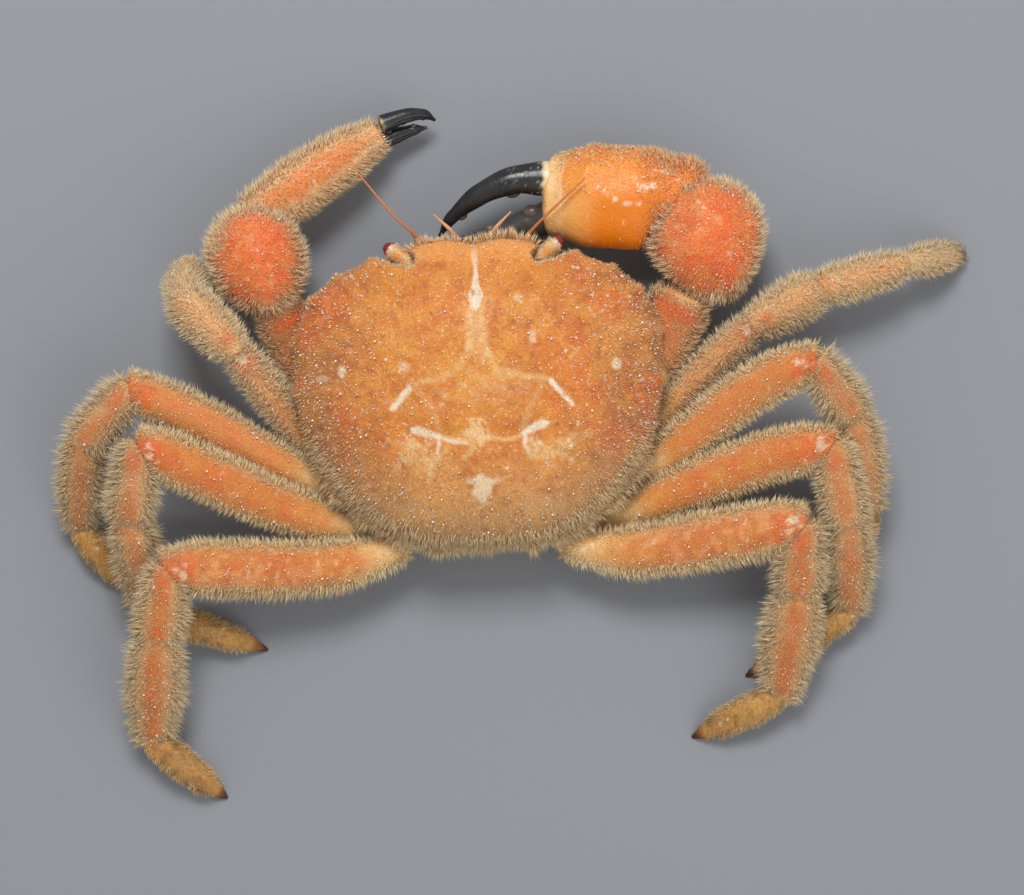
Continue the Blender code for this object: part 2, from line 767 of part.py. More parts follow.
PROFILES = {
    "merus": [(0, 0.62), (0.08, 0.66), (0.3, 0.88), (0.6, 1.0), (0.88, 0.97), (1, 0.74)],
    "carpus": [(0, 0.7), (0.25, 0.9), (0.7, 1.0), (0.9, 0.96), (1, 0.78)],
    "propodus": [(0, 0.74), (0.18, 0.95), (0.5, 1.0), (0.85, 0.76), (1, 0.52)],
    "dactylus": [(0, 0.7), (0.12, 0.9), (0.35, 1.0), (0.65, 0.85), (0.86, 0.53), (0.94, 0.31), (1, 0.12)],
}
STATIONS = {
    "merus": (0, 0.06, 0.16, 0.34, 0.54, 0.74, 0.9, 0.96, 1),
    "carpus": (0, 0.15, 0.38, 0.65, 0.88, 1),
    "propodus": (0, 0.12, 0.3, 0.52, 0.72, 0.9, 1),
    "dactylus": (0, 0.12, 0.3, 0.5, 0.68, 0.82, 0.92, 1),
}
LEG_SIDES = 8
MERUS_SAG = -0.8
DACTYLUS_ARCH = 0.7


def leg_joints(number, side):
    """The points where a leg's articles meet, from the merus's start to the tip."""
    root, headings, pitches, _ = LEG_POSES[(number, side)]
    joints = [on_side(root, side)]
    lengths = LEG_LENGTHS[number]
    for length, heading, pitch in zip(lengths, headings, pitches):
        joints.append(joints[-1] + aim(heading, pitch, side) * length)
    tip_height = TIP_HALF_WIDTH * THICKNESS_SHARES[3] * 0.6
    drop = math.degrees(math.asin((tip_height - joints[-1].z) / lengths[3]))
    joints.append(joints[-1] + aim(headings[3], drop, side) * lengths[3])
    return joints


def build_leg(model, number, side):
    joints = leg_joints(number, side)
    inner = on_side(COXA_STARTS[number], side)
    aims = [(b - a).normalized() for a, b in zip([inner, *joints], joints)]
    for i, article in enumerate(LEG_ARTICLES):
        last = article == "dactylus"
        start_normal = mitre(aims[i], aims[i + 1])
        end_normal = None if last else mitre(aims[i + 1], aims[i + 2])
        start = drawn_back(joints[i], -aims[i + 1], start_normal)
        end = joints[i + 1] if last else drawn_back(joints[i + 1], aims[i + 1], end_normal)
        bows = LEG_POSES[(number, side)][3] if article == "merus" else (0.0, 0.0)
        sag = {"merus": MERUS_SAG, "dactylus": DACTYLUS_ARCH}.get(article, 0.0)
        width = LEG_HALF_WIDTHS[number][i]
        widths = [(share, value * width) for share, value in PROFILES[article]]
        thicknesses = [(share, value * THICKNESS_SHARES[i]) for share, value in widths]
        tube = Tube(
            straight(start, end, bows, sag),
            widths,
            thicknesses,
            start_normal=start_normal,
            end_normal=end_normal,
        )
        name = f"leg{number}_{side}_{article}"
        locks = []
        if article in LOCK_SPANS:
            edges = (0.0, math.pi, math.pi / 2) if number == 2 and article != "merus" else (0.0, math.pi)
            locks = edge_locks(tube, LOCK_SPANS[article], article, name, edges)
        rings = tube.rings(STATIONS[article], LEG_SIDES)
        model.add(name, rings, "foot" if last else "leg", locks)


# Claws


def ellipsoid(centre, axes, heading, sides=14, rows=9):
    """Rings of an ellipsoid with its long axis level at this heading."""
    along = Vector((math.cos(heading), math.sin(heading), 0))
    across = Vector((-along.y, along.x, 0))
    rings = [[centre - along * axes[1]]]
    for row in range(1, rows):
        angle = math.pi * row / rows
        here = centre - along * (axes[1] * math.cos(angle))
        size = math.sin(angle)
        rings.append(
            [
                here
                + across * (axes[0] * size * math.cos(math.tau * i / sides))
                + UP * (axes[2] * size * math.sin(math.tau * i / sides))
                for i in range(sides)
            ]
        )
    rings.append([centre + along * axes[1]])
    return rings


def trim(target, point, normal):
    """Cuts off the target beyond the plane, and closes it."""
    bm = bmesh.new()
    bm.from_mesh(target.data)
    geometry = bm.verts[:] + bm.edges[:] + bm.faces[:]
    cut = bmesh.ops.bisect_plane(
        bm, geom=geometry, plane_co=point * MM, plane_no=normal, clear_outer=True, dist=1e-7
    )
    edges = [item for item in cut["geom_cut"] if isinstance(item, bmesh.types.BMEdge)]
    bmesh.ops.contextual_create(bm, geom=edges)
    bmesh.ops.recalc_face_normals(bm, faces=bm.faces)
    bm.to_mesh(target.data)
    bm.free()


def finger_teeth(tube, claw, side_angle, finish):
    """Blunt teeth along a finger's biting edge."""
    made = []
    for i in range(claw["teeth"]):
        share = 0.28 + 0.42 * i / max(1, claw["teeth"] - 1)
        centre = tube.point(share, side_angle)
        inward = (centre - tube.line(share)).normalized()
        size = claw["tooth_size"] * (1 - 0.25 * i)
        bm = bmesh.new()
        rings = ellipsoid(centre - inward * size * 0.35, (size, size * 1.2, size), 0.0, 6, 5)
        skin_rings(bm, rings)
        made.append(bmesh_object(f"tooth_{i}", bm, finish))
    return made


def build_claw(model, side):
    claw = CLAWS[side]
    turn = SIDES[side]
    inner = on_side(COXA_STARTS[1], side)
    arm_start, arm_end = on_side(claw["arm_start"], side), on_side(claw["arm_end"], side)
    wrist = on_side(claw["wrist_centre"], side)
    hand_start, hand_end = on_side(claw["hand_start"], side), on_side(claw["hand_end"], side)
    arm_aim, hand_aim = (arm_end - arm_start).normalized(), (hand_end - hand_start).normalized()
    elbow_normal = mitre(arm_aim, wrist - arm_end)
    wrist_normal = mitre(hand_start - wrist, hand_aim)

    half = claw["arm_half_width"]
    root_normal = mitre(arm_start - inner, arm_aim)
    start = drawn_back(arm_start, -arm_aim, root_normal)
    end = drawn_back(arm_end, arm_aim, elbow_normal)
    arm = Tube(
        straight(start, end, sag=-0.9),
        [(0, half * 0.76), (0.5, half), (0.85, half * 0.98), (1, half * 0.82)],
        [(0, half * 0.62), (0.5, half * 0.72), (0.85, half * 0.76), (1, half * 0.68)],
        start_normal=root_normal,
        end_normal=elbow_normal,
    )
    locks = edge_locks(arm, (0.4, 0.95), "arm", f"arm_{side}")
    model.add(f"claw_{side}_arm", arm.rings((0, 0.08, 0.25, 0.5, 0.75, 0.9, 1), 10), "leg", locks)

    heading = math.radians(claw["wrist_heading"])
    heading = math.pi - heading if turn < 0 else heading
    body = ellipsoid(wrist, claw["wrist_axes"], heading)
    locks = wrist_locks(wrist, claw["wrist_axes"], heading, f"wrist_{side}")
    made = model.add(f"claw_{side}_wrist", body, "leg", locks)
    trim(made, arm_end + elbow_normal * (GAP / 2), -elbow_normal)
    trim(made, hand_start - wrist_normal * (GAP / 2), wrist_normal)

    widths = even_stops(claw["hand_half_widths"])
    thick = [(share, value * claw["hand_thickness"]) for share, value in widths]
    start = hand_start + hand_aim * (GAP / 2)
    palm = Tube(straight(start, hand_end, sag=0.3), widths, thick, start_normal=wrist_normal)
    locks = edge_locks(palm, (0.08, 0.9), f"{side}_hand", f"hand_{side}", HAND_EDGES[side])
    hand = model.add(f"claw_{side}_hand", palm.rings((0, 0.1, 0.25, 0.45, 0.65, 0.85, 1), 12), "shell", locks)
    thumb_points = [on_side(p, side) for p in claw["thumb_line"]]
    thumb = finger_tube(thumb_points, claw["thumb_half_widths"])
    bm = bmesh.new()
    skin_rings(bm, above_floor(thumb.rings([i / 7 for i in range(8)], 8)))
    pieces = [bmesh_object("thumb", bm, model.finish["black"])]
    finger_points = [on_side(p, side) for p in claw["finger_line"]]
    finger = finger_tube(finger_points, claw["finger_half_widths"])
    boolean(hand, pieces, "UNION")
    boolean(hand, finger_teeth(thumb, claw, biting_angle(thumb, finger), model.finish["black"]), "UNION")
    cut_socket(model, finger, (0, 0.125, 0.25, 0.375), 8, f"claw_{side}_hand")
    made = model.add(f"claw_{side}_finger", finger.rings([i / 8 for i in range(9)], 8), "black")
    boolean(made, finger_teeth(finger, claw, biting_angle(finger, thumb), model.finish["black"]), "UNION")


def finger_tube(points, half_widths):
    stops = even_stops(half_widths)
    return Tube(lambda share: spline(points, share), stops, [(share, value * 0.85) for share, value in stops])


def biting_angle(finger, other):
    """The angle round a finger's ring that faces the other finger."""
    along, across, over = finger.axes(0.5)
    towards = other.line(0.5) - finger.line(0.5)
    return math.atan2(towards.dot(over), towards.dot(across))


def wrist_locks(centre, axes, heading, seed):
    """A ring of locks in two tiers round the wrist's edge, leaning towards the hand."""
    draw = random.Random(seed)
    along = Vector((math.cos(heading), math.sin(heading), 0))
    across = Vector((-along.y, along.x, 0))
    sizes = LOCK_SIZES["wrist"]
    count = 2 * round(math.pi * (axes[0] + axes[1]) / sizes[2] / 2)
    made = []
    for i in range(count):
        angle = math.tau * i / count
        rise = WRIST_TIER if i % 2 else -WRIST_TIER
        flat = across * (math.cos(angle) * axes[0]) + along * (math.sin(angle) * axes[1])
        outward = (across * (math.cos(angle) / axes[0]) + along * (math.sin(angle) / axes[1])).normalized()
        root = centre + flat * math.cos(rise) + UP * (axes[2] * math.sin(rise))
        swirl = UP.cross(outward)
        if swirl.dot(along) < 0:
            swirl.negate()
        made.append(Lock(root, outward + UP * rise + swirl * 0.3, outward + swirl * 1.2, swirl, sizes, draw))
    return made


def main():
    clear_scene()
    model = Model()
    build_carapace(model)
    build_underside(model)
    build_tail(model)
    build_mouth(model)
    build_eyes(model)
    build_feelers(model)
    for side in SIDES:
        build_claw(model, side)
        for number in LEG_LENGTHS:
            build_leg(model, number, side)
    plant_locks(model)


main()
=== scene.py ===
"""Looks of a life-size still model of a hairy deep-water crab, resting on its belly.

Lengths here are millimetres in the model's own frame and angles are degrees; they turn into metres
where a mesh is made. Every shell is a grid of points with a paint colour at each, and the bristles of
the coat grow from the same grids, so skin and coat carry the same markings.
"""

import math
from functools import partial

import bpy
import numpy as np
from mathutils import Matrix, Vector


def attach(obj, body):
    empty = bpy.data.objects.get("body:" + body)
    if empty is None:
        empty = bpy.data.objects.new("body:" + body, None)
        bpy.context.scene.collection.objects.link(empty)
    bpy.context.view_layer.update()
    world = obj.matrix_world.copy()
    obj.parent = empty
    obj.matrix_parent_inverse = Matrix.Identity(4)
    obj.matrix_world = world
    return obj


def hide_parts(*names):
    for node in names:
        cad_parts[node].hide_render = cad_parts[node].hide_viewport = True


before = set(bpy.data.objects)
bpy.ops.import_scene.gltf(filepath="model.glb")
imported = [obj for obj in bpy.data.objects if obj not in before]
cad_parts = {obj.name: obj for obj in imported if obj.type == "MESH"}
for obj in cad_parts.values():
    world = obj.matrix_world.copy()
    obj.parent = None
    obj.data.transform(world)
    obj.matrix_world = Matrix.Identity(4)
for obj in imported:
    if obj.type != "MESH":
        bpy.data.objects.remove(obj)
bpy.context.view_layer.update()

MM = 0.001
GAP = 0.3
SIDES = {"left": 1, "right": -1}
UP = np.array((0.0, 0.0, 1.0))
LEVEL = np.array((1.0, 1.0, 0.0))

# Body, as in the solids

FRONT_Y = -20.4
REAR_Y = 19.6
PARTING_Z = 8.6
TOP_Z = 20.5
EDGE_Z_SIDE = 10.2
EDGE_Z_FRONT = 11.6
EDGE_Z_REAR = 10.8
LOWER_EDGE_SHARE = 0.955
HALF_OUTLINE = [
    (0.0, -20.3),
    (3.6, -20.9),
    (7.2, -20.4),
    (10.6, -18.9),
    (13.7, -18.6),
    (18.3, -16.6),
    (21.7, -14.0),
    (24.2, -9.0),
    (24.6, -2.4),
    (23.4, 4.0),
    (20.2, 10.4),
    (14.6, 16.0),
    (8.0, 19.2),
    (0.0, 19.6),
]
OUTLINE_END = len(HALF_OUTLINE) - 1
TOOTH_PLACES = (4.0, 5.05, 6.1, 7.15, 8.15)
TOOTH_HEIGHT = 0.55
TOOTH_SPREAD = 0.16

# Limbs, as in the solids

LEG_ARTICLES = ("merus", "carpus", "propodus", "dactylus")
LEG_LENGTHS = {
    2: (20.6, 9.8, 13.2, 11.4),
    3: (31.0, 10.2, 14.2, 11.6),
    4: (33.2, 10.6, 15.0, 17.0),
    5: (31.8, 9.8, 15.4, 13.6),
}
LEG_HALF_WIDTHS = {
    2: (2.1, 2.75, 2.3, 1.85),
    3: (2.8, 2.45, 2.5, 1.8),
    4: (3.1, 2.6, 2.6, 1.95),
    5: (3.3, 2.9, 3.3, 2.05),
}
THICKNESS_SHARES = (0.7, 0.74, 0.64, 0.7)
LEG_POSES = {
    (2, "left"): ((22.9, 6.6, 3.9), (-57, -46, -85, 110), (36.5, -9, -65), (0.0, 0.0)),
    (2, "right"): ((22.9, 5.6, 4.2), (-44, -27, -14, -10), (14.5, -5, -6), (-0.4, -0.3)),
    (3, "left"): ((20.9, 11.9, 4.4), (-30, 46, 80, 125), (18, -15, -35), (0.0, -0.4)),
    (3, "right"): ((20.8, 12.0, 4.4), (-32, 54, 80, 108), (25, -28, -24), (-0.2, -1.6)),
    (4, "left"): ((16.6, 17.1, 4.8), (-23, 78, 97, 158), (20.5, -21, -31), (1.2, 0.0)),
    (4, "right"): ((16.1, 17.4, 4.7), (-16.5, 80, 86, 149), (15.5, -9, -34), (0.0, -1.2)),
    (5, "left"): ((11.2, 19.4, 7.1), (4, 78, 82, 137), (10.5, -12, -24), (1.9, 0.0)),
    (5, "right"): ((11.2, 20.0, 7.1), (-2, 94, 100, 155), (10, -19, -22), (1.9, -0.2)),
}
COXA_STARTS = {
    1: (12.5, -2.6, 4.4),
    2: (12.5, 2.8, 4.2),
    3: (11.0, 7.4, 4.4),
    4: (9.0, 11.6, 4.4),
    5: (6.2, 14.2, 5.8),
}
PROFILES = {
    "merus": [(0, 0.62), (0.08, 0.66), (0.3, 0.88), (0.6, 1.0), (0.88, 0.97), (1, 0.74)],
    "carpus": [(0, 0.7), (0.25, 0.9), (0.7, 1.0), (0.9, 0.96), (1, 0.78)],
    "propodus": [(0, 0.74), (0.18, 0.95), (0.5, 1.0), (0.85, 0.76), (1, 0.52)],
    "dactylus": [(0, 0.7), (0.12, 0.9), (0.35, 1.0), (0.65, 0.85), (0.86, 0.53), (0.94, 0.31), (1, 0.12)],
}
TIP_HALF_WIDTH = 0.26
CORNER_REACH = 0.35
MITRE_REACH = 1.25
MERUS_SAG = -0.8
DACTYLUS_ARCH = 0.7

CLAWS = {
    "left": {
        "arm_start": (21.8, -1.8, 4.6),
        "arm_end": (26.7, -13.2, 8.3),
        "arm_half_width": 3.2,
        "wrist_centre": (29.0, -19.4, 9.6),
        "wrist_axes": (5.9, 7.0, 4.6),
        "wrist_heading": -74,
        "hand_start": (28.9, -26.0, 8.2),
        "hand_end": (12.6, -36.1, 5.3),
        "hand_half_widths": (2.5, 3.4, 3.1, 2.0),
        "hand_thickness": 0.82,
        "finger_line": [(11.9, -37.5, 5.9), (8.7, -38.6, 5.5), (6.2, -38.8, 4.8), (4.7, -38.1, 3.9)],
        "finger_half_widths": (1.3, 1.0, 0.75, 0.25),
        "thumb_line": [(13.4, -34.8, 5.0), (10.4, -36.0, 4.2), (7.8, -36.8, 3.8), (5.9, -37.1, 3.6)],
        "thumb_half_widths": (1.5, 1.15, 0.8, 0.25),
        "tooth_size": 0.42,
    },
    "right": {
        "arm_start": (22.2, -2.2, 4.6),
        "arm_end": (28.2, -12.6, 8.6),
        "arm_half_width": 3.8,
        "wrist_centre": (31.5, -20.0, 9.8),
        "wrist_axes": (7.1, 7.8, 5.6),
        "wrist_heading": -100,
        "hand_start": (27.0, -25.4, 8.6),
        "hand_end": (10.9, -26.9, 7.0),
        "hand_half_widths": (5.4, 6.9, 6.8, 5.4),
        "hand_thickness": 0.72,
        "finger_line": [
            (10.4, -29.1, 8.4),
            (5.7, -29.0, 8.8),
            (1.1, -27.3, 8.2),
            (-2.7, -24.6, 6.4),
            (-4.6, -22.2, 4.6),
        ],
        "finger_half_widths": (2.4, 1.95, 1.5, 0.92, 0.28),
        "thumb_line": [(12.4, -24.3, 5.2), (7.8, -23.5, 4.0), (3.0, -22.2, 3.4), (-2.1, -21.7, 3.6)],
        "thumb_half_widths": (3.2, 2.1, 1.4, 0.35),
        "tooth_size": 1.05,
    },
}

TAIL_PATH = [(0, 18.6, 7.2), (0, 18.2, 4.6), (0, 16.2, 1.9), (0, 12.0, 0.7), (0, 4.0, 0.5), (0, -6.0, 0.5)]
TAIL_HALF_WIDTHS = (5.2, 5.0, 4.4, 3.2, 2.2, 1.2)
TAIL_HALF_THICKNESSES = (0.6, 0.7, 0.7, 0.7, 0.7, 0.6)
MOUTHPART_PATH = [(2.9, -8.4, 1.0), (3.0, -11.0, 1.9), (3.05, -13.2, 3.7), (3.1, -15.9, 5.7)]
ANTENNULE_PATH = [(1.9, -18.0, 7.3), (2.1, -20.7, 8.1), (2.9, -22.4, 9.5), (5.2, -24.7, 10.2)]
ANTENNA_BASE = [(7.0, -17.8, 6.6), (7.3, -20.6, 7.8), (8.0, -22.2, 9.5)]
FEELER_PATHS = {
    ("antenna", "left"): [*ANTENNA_BASE, (10.8, -25.0, 11.3), (15.0, -30.4, 12.8)],
    ("antenna", "right"): [*ANTENNA_BASE, (11.4, -25.2, 12.4), (15.2, -28.4, 14.0)],
    ("antennule", "left"): ANTENNULE_PATH,
    ("antennule", "right"): ANTENNULE_PATH,
}
FEELER_HALF_WIDTHS = {
    "antenna": (0.75, 0.7, 0.34, 0.3, 0.25),
    "antennule": (0.7, 0.6, 0.45, 0.26),
}
FEELER_RINGS = {"antenna": 46, "antennule": 22}
FEELER_SLIMMING = {"antenna": 0.13, "antennule": 0.14}


# Colours


def colour(red, green, blue):
    """A linear colour from screen values of 0 to 255."""
    screen = np.array((red, green, blue)) / 255
    return np.where(screen <= 0.04045, screen / 12.92, ((screen + 0.055) / 1.055) ** 2.4)


ORANGE = colour(210, 131, 46)
BRIGHT_ORANGE = colour(230, 143, 44)
RED_ORANGE = colour(226, 104, 34)
BROWN_ORANGE = colour(184, 100, 40)
TAN_ORANGE = colour(220, 172, 112)
LEG_ORANGE = colour(216, 136, 66)
YELLOW_ORANGE = colour(228, 166, 76)
CREAM = colour(228, 194, 138)
WHITE = colour(246, 236, 214)
CHALK = colour(240, 228, 210)
KHAKI = colour(222, 184, 130)
TAN = colour(224, 186, 138)
COOL_TAN = colour(212, 184, 144)
OCHRE = colour(160, 124, 62)
TIP_BROWN = colour(66, 36, 24)
PALE_BRISTLE = colour(252, 232, 188)
PINK_BRISTLE = colour(246, 190, 130)
BLACK = colour(30, 30, 33)
DARK_GREY = colour(74, 70, 68)
MOLAR_GREY = colour(122, 104, 96)
CRIMSON = colour(140, 12, 26)
DARK_RED = colour(62, 8, 18)
FEELER = colour(206, 122, 84)
SPECK = colour(252, 240, 226)
SPECK_PINK = colour(244, 196, 168)


# Small mathematics on arrays


def unit(vectors):
    return vectors / np.maximum(np.linalg.norm(vectors, axis=-1, keepdims=True), 1e-9)


def dot(a, b):
    return np.sum(a * b, axis=-1)


def smooth(low, high, value):
    """0 at low, 1 at high, with a smooth step between them; low may be the larger of the two."""
    t = np.clip((value - low) / (high - low), 0, 1)
    return t * t * (3 - 2 * t)


def mix(first, second, amount):
    amount = np.asarray(amount, float)[..., None]
    return first * (1 - amount) + second * amount


def layered(paint, *layers):
    """The paint with each (colour, amount) laid over it in turn."""
    for shade, amount in layers:
        paint = mix(paint, shade, amount)
    return paint


def bump(value, centre, reach):
    """1 at the centre, and next to nothing at twice the reach from it."""
    return np.exp(-(((value - centre) / reach) ** 2))


def between(stops, share):
    """Smooth values from (share, value) stops."""
    places = np.array([stop[0] for stop in stops], float)
    values = np.array([stop[1] for stop in stops], float)
    i = np.clip(np.searchsorted(places, share, side="left") - 1, 0, len(stops) - 2)
    part = np.clip((share - places[i]) / (places[i + 1] - places[i]), 0, 1)
    part = part * part * (3 - 2 * part)
    return values[i] + (values[i + 1] - values[i]) * part


def even_stops(values):
    return [(i / (len(values) - 1), value) for i, value in enumerate(values)]


def spline(points, share):
    """Points on the smooth curve through the points, for shares from 0 to 1 of their count."""
    points = np.asarray(points, float)
    last = len(points) - 1
    padded = np.vstack([2 * points[0] - points[1], points, 2 * points[-1] - points[-2]])
    place = np.clip(share, 0, 1) * last
    i = np.minimum(place.astype(int), last - 1)
    t = (place - i)[:, None]
    p0, p1, p2, p3 = (padded[i + k] for k in range(4))
    turn = 2 * p0 - 5 * p1 + 4 * p2 - p3
    twist = 3 * p1 - p0 - 3 * p2 + p3
    return 0.5 * (2 * p1 + (p2 - p0) * t + turn * t**2 + twist * t**3)


def lattice(cells, seed):
    """A fixed random value from -1 to 1 for each whole-number cell."""
    n = cells[..., 0] * 374761393 + cells[..., 1] * 668265263 + cells[..., 2] * 1440662683 + seed * 69069
    n &= 0xFFFFFFFF
    n = ((n ^ (n >> 13)) * 1274126177) & 0xFFFFFFFF
    return ((n ^ (n >> 16)) & 0xFFFF) / 32767.5 - 1


def noise(points, size, seed=0):
    """Smooth noise from -1 to 1 that changes over this many millimetres."""
    place = np.asarray(points) / size + 500.0
    cell = np.floor(place).astype(np.int64)
    t = place - cell
    t = t * t * (3 - 2 * t)
    total = 0.0
    for corner in range(8):
        step = np.array((corner & 1, corner >> 1 & 1, corner >> 2))
        weight = np.prod(np.where(step == 1, t, 1 - t), axis=-1)
        total = total + weight * lattice(cell + step, seed)
    return total


def fractal(points, size, octaves=3, seed=0):
    total, weight = 0.0, 1.0
    for octave in range(octaves):
        total = total + weight * noise(points, size / 2**octave, seed + octave)
        weight *= 0.5
    return total / 1.5


def speckle(points, cell_size, chance, seed):
    """1 inside scattered round specks on the plan, 0 elsewhere; chance may vary from place to place."""
    ragged = np.stack([noise(points, 0.3, seed + 5), noise(points, 0.3, seed + 6)], axis=-1)
    place = np.asarray(points)[..., :2] / cell_size + 700.0 + 0.22 * ragged
    cell = np.floor(place).astype(np.int64)
    found = np.zeros(place.shape[:-1])
    for dx in (-1, 0, 1):
        for dy in (-1, 0, 1):
            home = cell + np.array((dx, dy))
            keys = np.concatenate([home, np.zeros((*home.shape[:-1], 1), np.int64)], axis=-1)
            offset = np.stack([lattice(keys, seed + 1), lattice(keys, seed + 2)], axis=-1) * 0.35 + 0.5
            radius = 0.1 + 0.22 * (0.5 + 0.5 * lattice(keys, seed + 3)) ** 2
            distance = np.linalg.norm(place - home - offset, axis=-1)
            there = (0.5 + 0.5 * lattice(keys, seed + 4)) < chance
            strength = 0.65 + 0.35 * lattice(keys, seed + 7)
            found = np.maximum(found, there * strength * smooth(radius, radius * 0.5, distance))
    return found


def stroke(points, path, half_widths, soft=0.12, fray=0.3, seed=5):
    """1 along a painted line on the plan, whose edges are frayed and fade over a soft width."""
    plan = np.asarray(points)[..., :2]
    ragged = 1 + fray * noise(points, 0.7, seed) + fray * noise(points, 0.3, seed + 1)
    found = np.zeros(plan.shape[:-1])
    if len(path) > 2:
        share = np.linspace(0, 1, 5 * len(path))
        half_widths = np.interp(share * (len(path) - 1), np.arange(len(path)), half_widths)
        path = spline([(x, y, 0) for x, y in path], share)[:, :2]
    for a, b, wide_a, wide_b in zip(path, path[1:], half_widths, half_widths[1:]):
        a, b = np.array(a, float), np.array(b, float)
        t = np.clip(dot(plan - a, b - a) / max(dot(b - a, b - a), 1e-6), 0, 1)
        distance = np.linalg.norm(plan - (a + t[..., None] * (b - a)), axis=-1)
        reach = (wide_a + (wide_b - wide_a) * t) * ragged
        found = np.maximum(found, smooth(reach + soft, np.maximum(reach - soft, 0.0), distance))
    return found


def blob(points, centre, reach, fray=0.5, seed=9):
    """1 in the middle of a soft-edged patch on the plan."""
    offset = (np.asarray(points)[..., :2] - np.array(centre)) / np.array(reach)
    ragged = fray * noise(points, 1.1, seed) + 0.5 * fray * noise(points, 0.4, seed + 1)
    return smooth(1.25, 0.55, np.linalg.norm(offset, axis=-1) + ragged)


# Tubes


class Tube:
    """An oval tube round a curved line, whose ends lie in given planes."""

    def __init__(self, line, widths, thicknesses, start_normal=None, end_normal=None, squareness=1.0):
        self.line = line
        self.widths = widths
        self.thicknesses = thicknesses
        self.length = np.linalg.norm(np.diff(line(np.linspace(0, 1, 21)), axis=0), axis=1).sum()
        self.start_normal = self.tangent(np.zeros(1))[0] if start_normal is None else start_normal
        self.end_normal = self.tangent(np.ones(1))[0] if end_normal is None else end_normal
        self.squareness = squareness

    def tangent(self, share):
        ahead, behind = np.minimum(share + 0.02, 1), np.maximum(share - 0.02, 0)
        return unit(self.line(ahead) - self.line(behind))

    def axes(self, share):
        along = self.tangent(share)
        across = unit(np.cross(along, UP))
        return along, across, np.cross(across, along)

    def normal(self, share):
        along = self.tangent(share)
        width = between(self.widths, share)
        result = along.copy()
        for normal, away in ((self.start_normal, share), (self.end_normal, 1 - share)):
            lean = np.minimum(np.arccos(np.clip(along @ normal, -1, 1)), 1.0)
            reach = np.maximum(MITRE_REACH * width * np.tan(lean), 0.3)
            hold = np.maximum(0, 1 - away * self.length / reach)
            result = result + (normal - along) * hold[:, None]
        return unit(result)

    def points(self, share, angle, grow=0.0):
        along, across, over = self.axes(share)
        normal = self.normal(share)
        width = between(self.widths, share) + grow
        thick = between(self.thicknesses, share) + grow
        c, s = np.cos(angle), np.sin(angle)
        c = np.sign(c) * np.abs(c) ** self.squareness
        s = np.sign(s) * np.abs(s) ** self.squareness
        offset = across[:, None] * (width[:, None] * c)[..., None]
        offset = offset + over[:, None] * (thick[:, None] * s)[..., None]
        shift = dot(offset, normal[:, None]) / np.maximum(dot(along, normal), 0.3)[:, None]
        reach = CORNER_REACH * width[:, None]
        near = (share < 0.5)[:, None]
        shift = np.where(near, np.minimum(shift, reach), np.maximum(shift, -reach))
        return self.line(share)[:, None] + offset - along[:, None] * shift[..., None]


def straight(start, end, bows=(0.0, 0.0), sag=0.0):
    start, end = np.asarray(start, float), np.asarray(end, float)

    def line(share):
        rest = 1 - share
        bow = 6.75 * share * rest * (bows[0] * rest + bows[1] * share)
        level = start + (end - start) * share[:, None]
        return level + np.stack([0 * share, bow, 4 * share * rest * sag], axis=-1)

    return line


def curve(points):
    return lambda share: spline(points, share)


def on_side(point, side):
    return np.array((point[0] * SIDES[side], point[1], point[2]), float)


def aim(heading, pitch, side):
    flat = math.cos(math.radians(pitch))
    out, back = math.cos(math.radians(heading)) * flat, math.sin(math.radians(heading)) * flat
    return np.array((SIDES[side] * out, back, math.sin(math.radians(pitch))))


def mitre(before, after):
    return unit(unit(before) + unit(after))


def drawn_back(point, along, normal):
    return point - along * (GAP / 2 / max(abs(along @ normal), 0.4))


# Shells


# Painted shade: how much of the paint's red, green and blue is left on the skin deep between the bristles.
SHADE_BETWEEN_BRISTLES = np.array((0.8, 0.66, 0.5))


class Skin:
    """A shell laid out on a grid of points, with the bristles' lie and a paint colour at each."""

    def __init__(self, points, share, angle, wrap=True):
        self.points = points
        self.share = np.broadcast_to(share, points.shape[:2])
        self.angle = np.broadcast_to(angle, points.shape[:2])
        self.wrap = wrap
        self.paint = np.zeros(points.shape)
        # depth is how strongly painted shade between the bristles darkens this skin, from 0 to 1.
        self.depth = 0.0
        self.settle()

    def settle(self):
        """Finds the normals and the lie again after the points have moved."""
        rows = np.gradient(self.points, axis=0)
        if self.wrap:
            columns = np.roll(self.points, -1, axis=1) - np.roll(self.points, 1, axis=1)
        else:
            columns = np.gradient(self.points, axis=1)
        self.normals = unit(np.cross(rows, columns))
        self.lie = unit(rows - self.normals * dot(rows, self.normals)[..., None])

    def round(self):
        """The share along the shell, and the cosine and sine of the angle round it."""
        return self.share, np.cos(self.angle), np.sin(self.angle)

    def swell(self, amount):
        self.points = self.points + self.normals * amount[..., None]
        self.points[..., 2] = np.maximum(self.points[..., 2], 0.0)
        self.settle()

    def around(self, values):
        """The values at the four corners of each face of the grid."""
        right = np.roll(values, -1, axis=1)
        corners = (values[:-1], values[1:], right[1:], right[:-1])
        return corners if self.wrap else tuple(corner[:, :-1] for corner in corners)


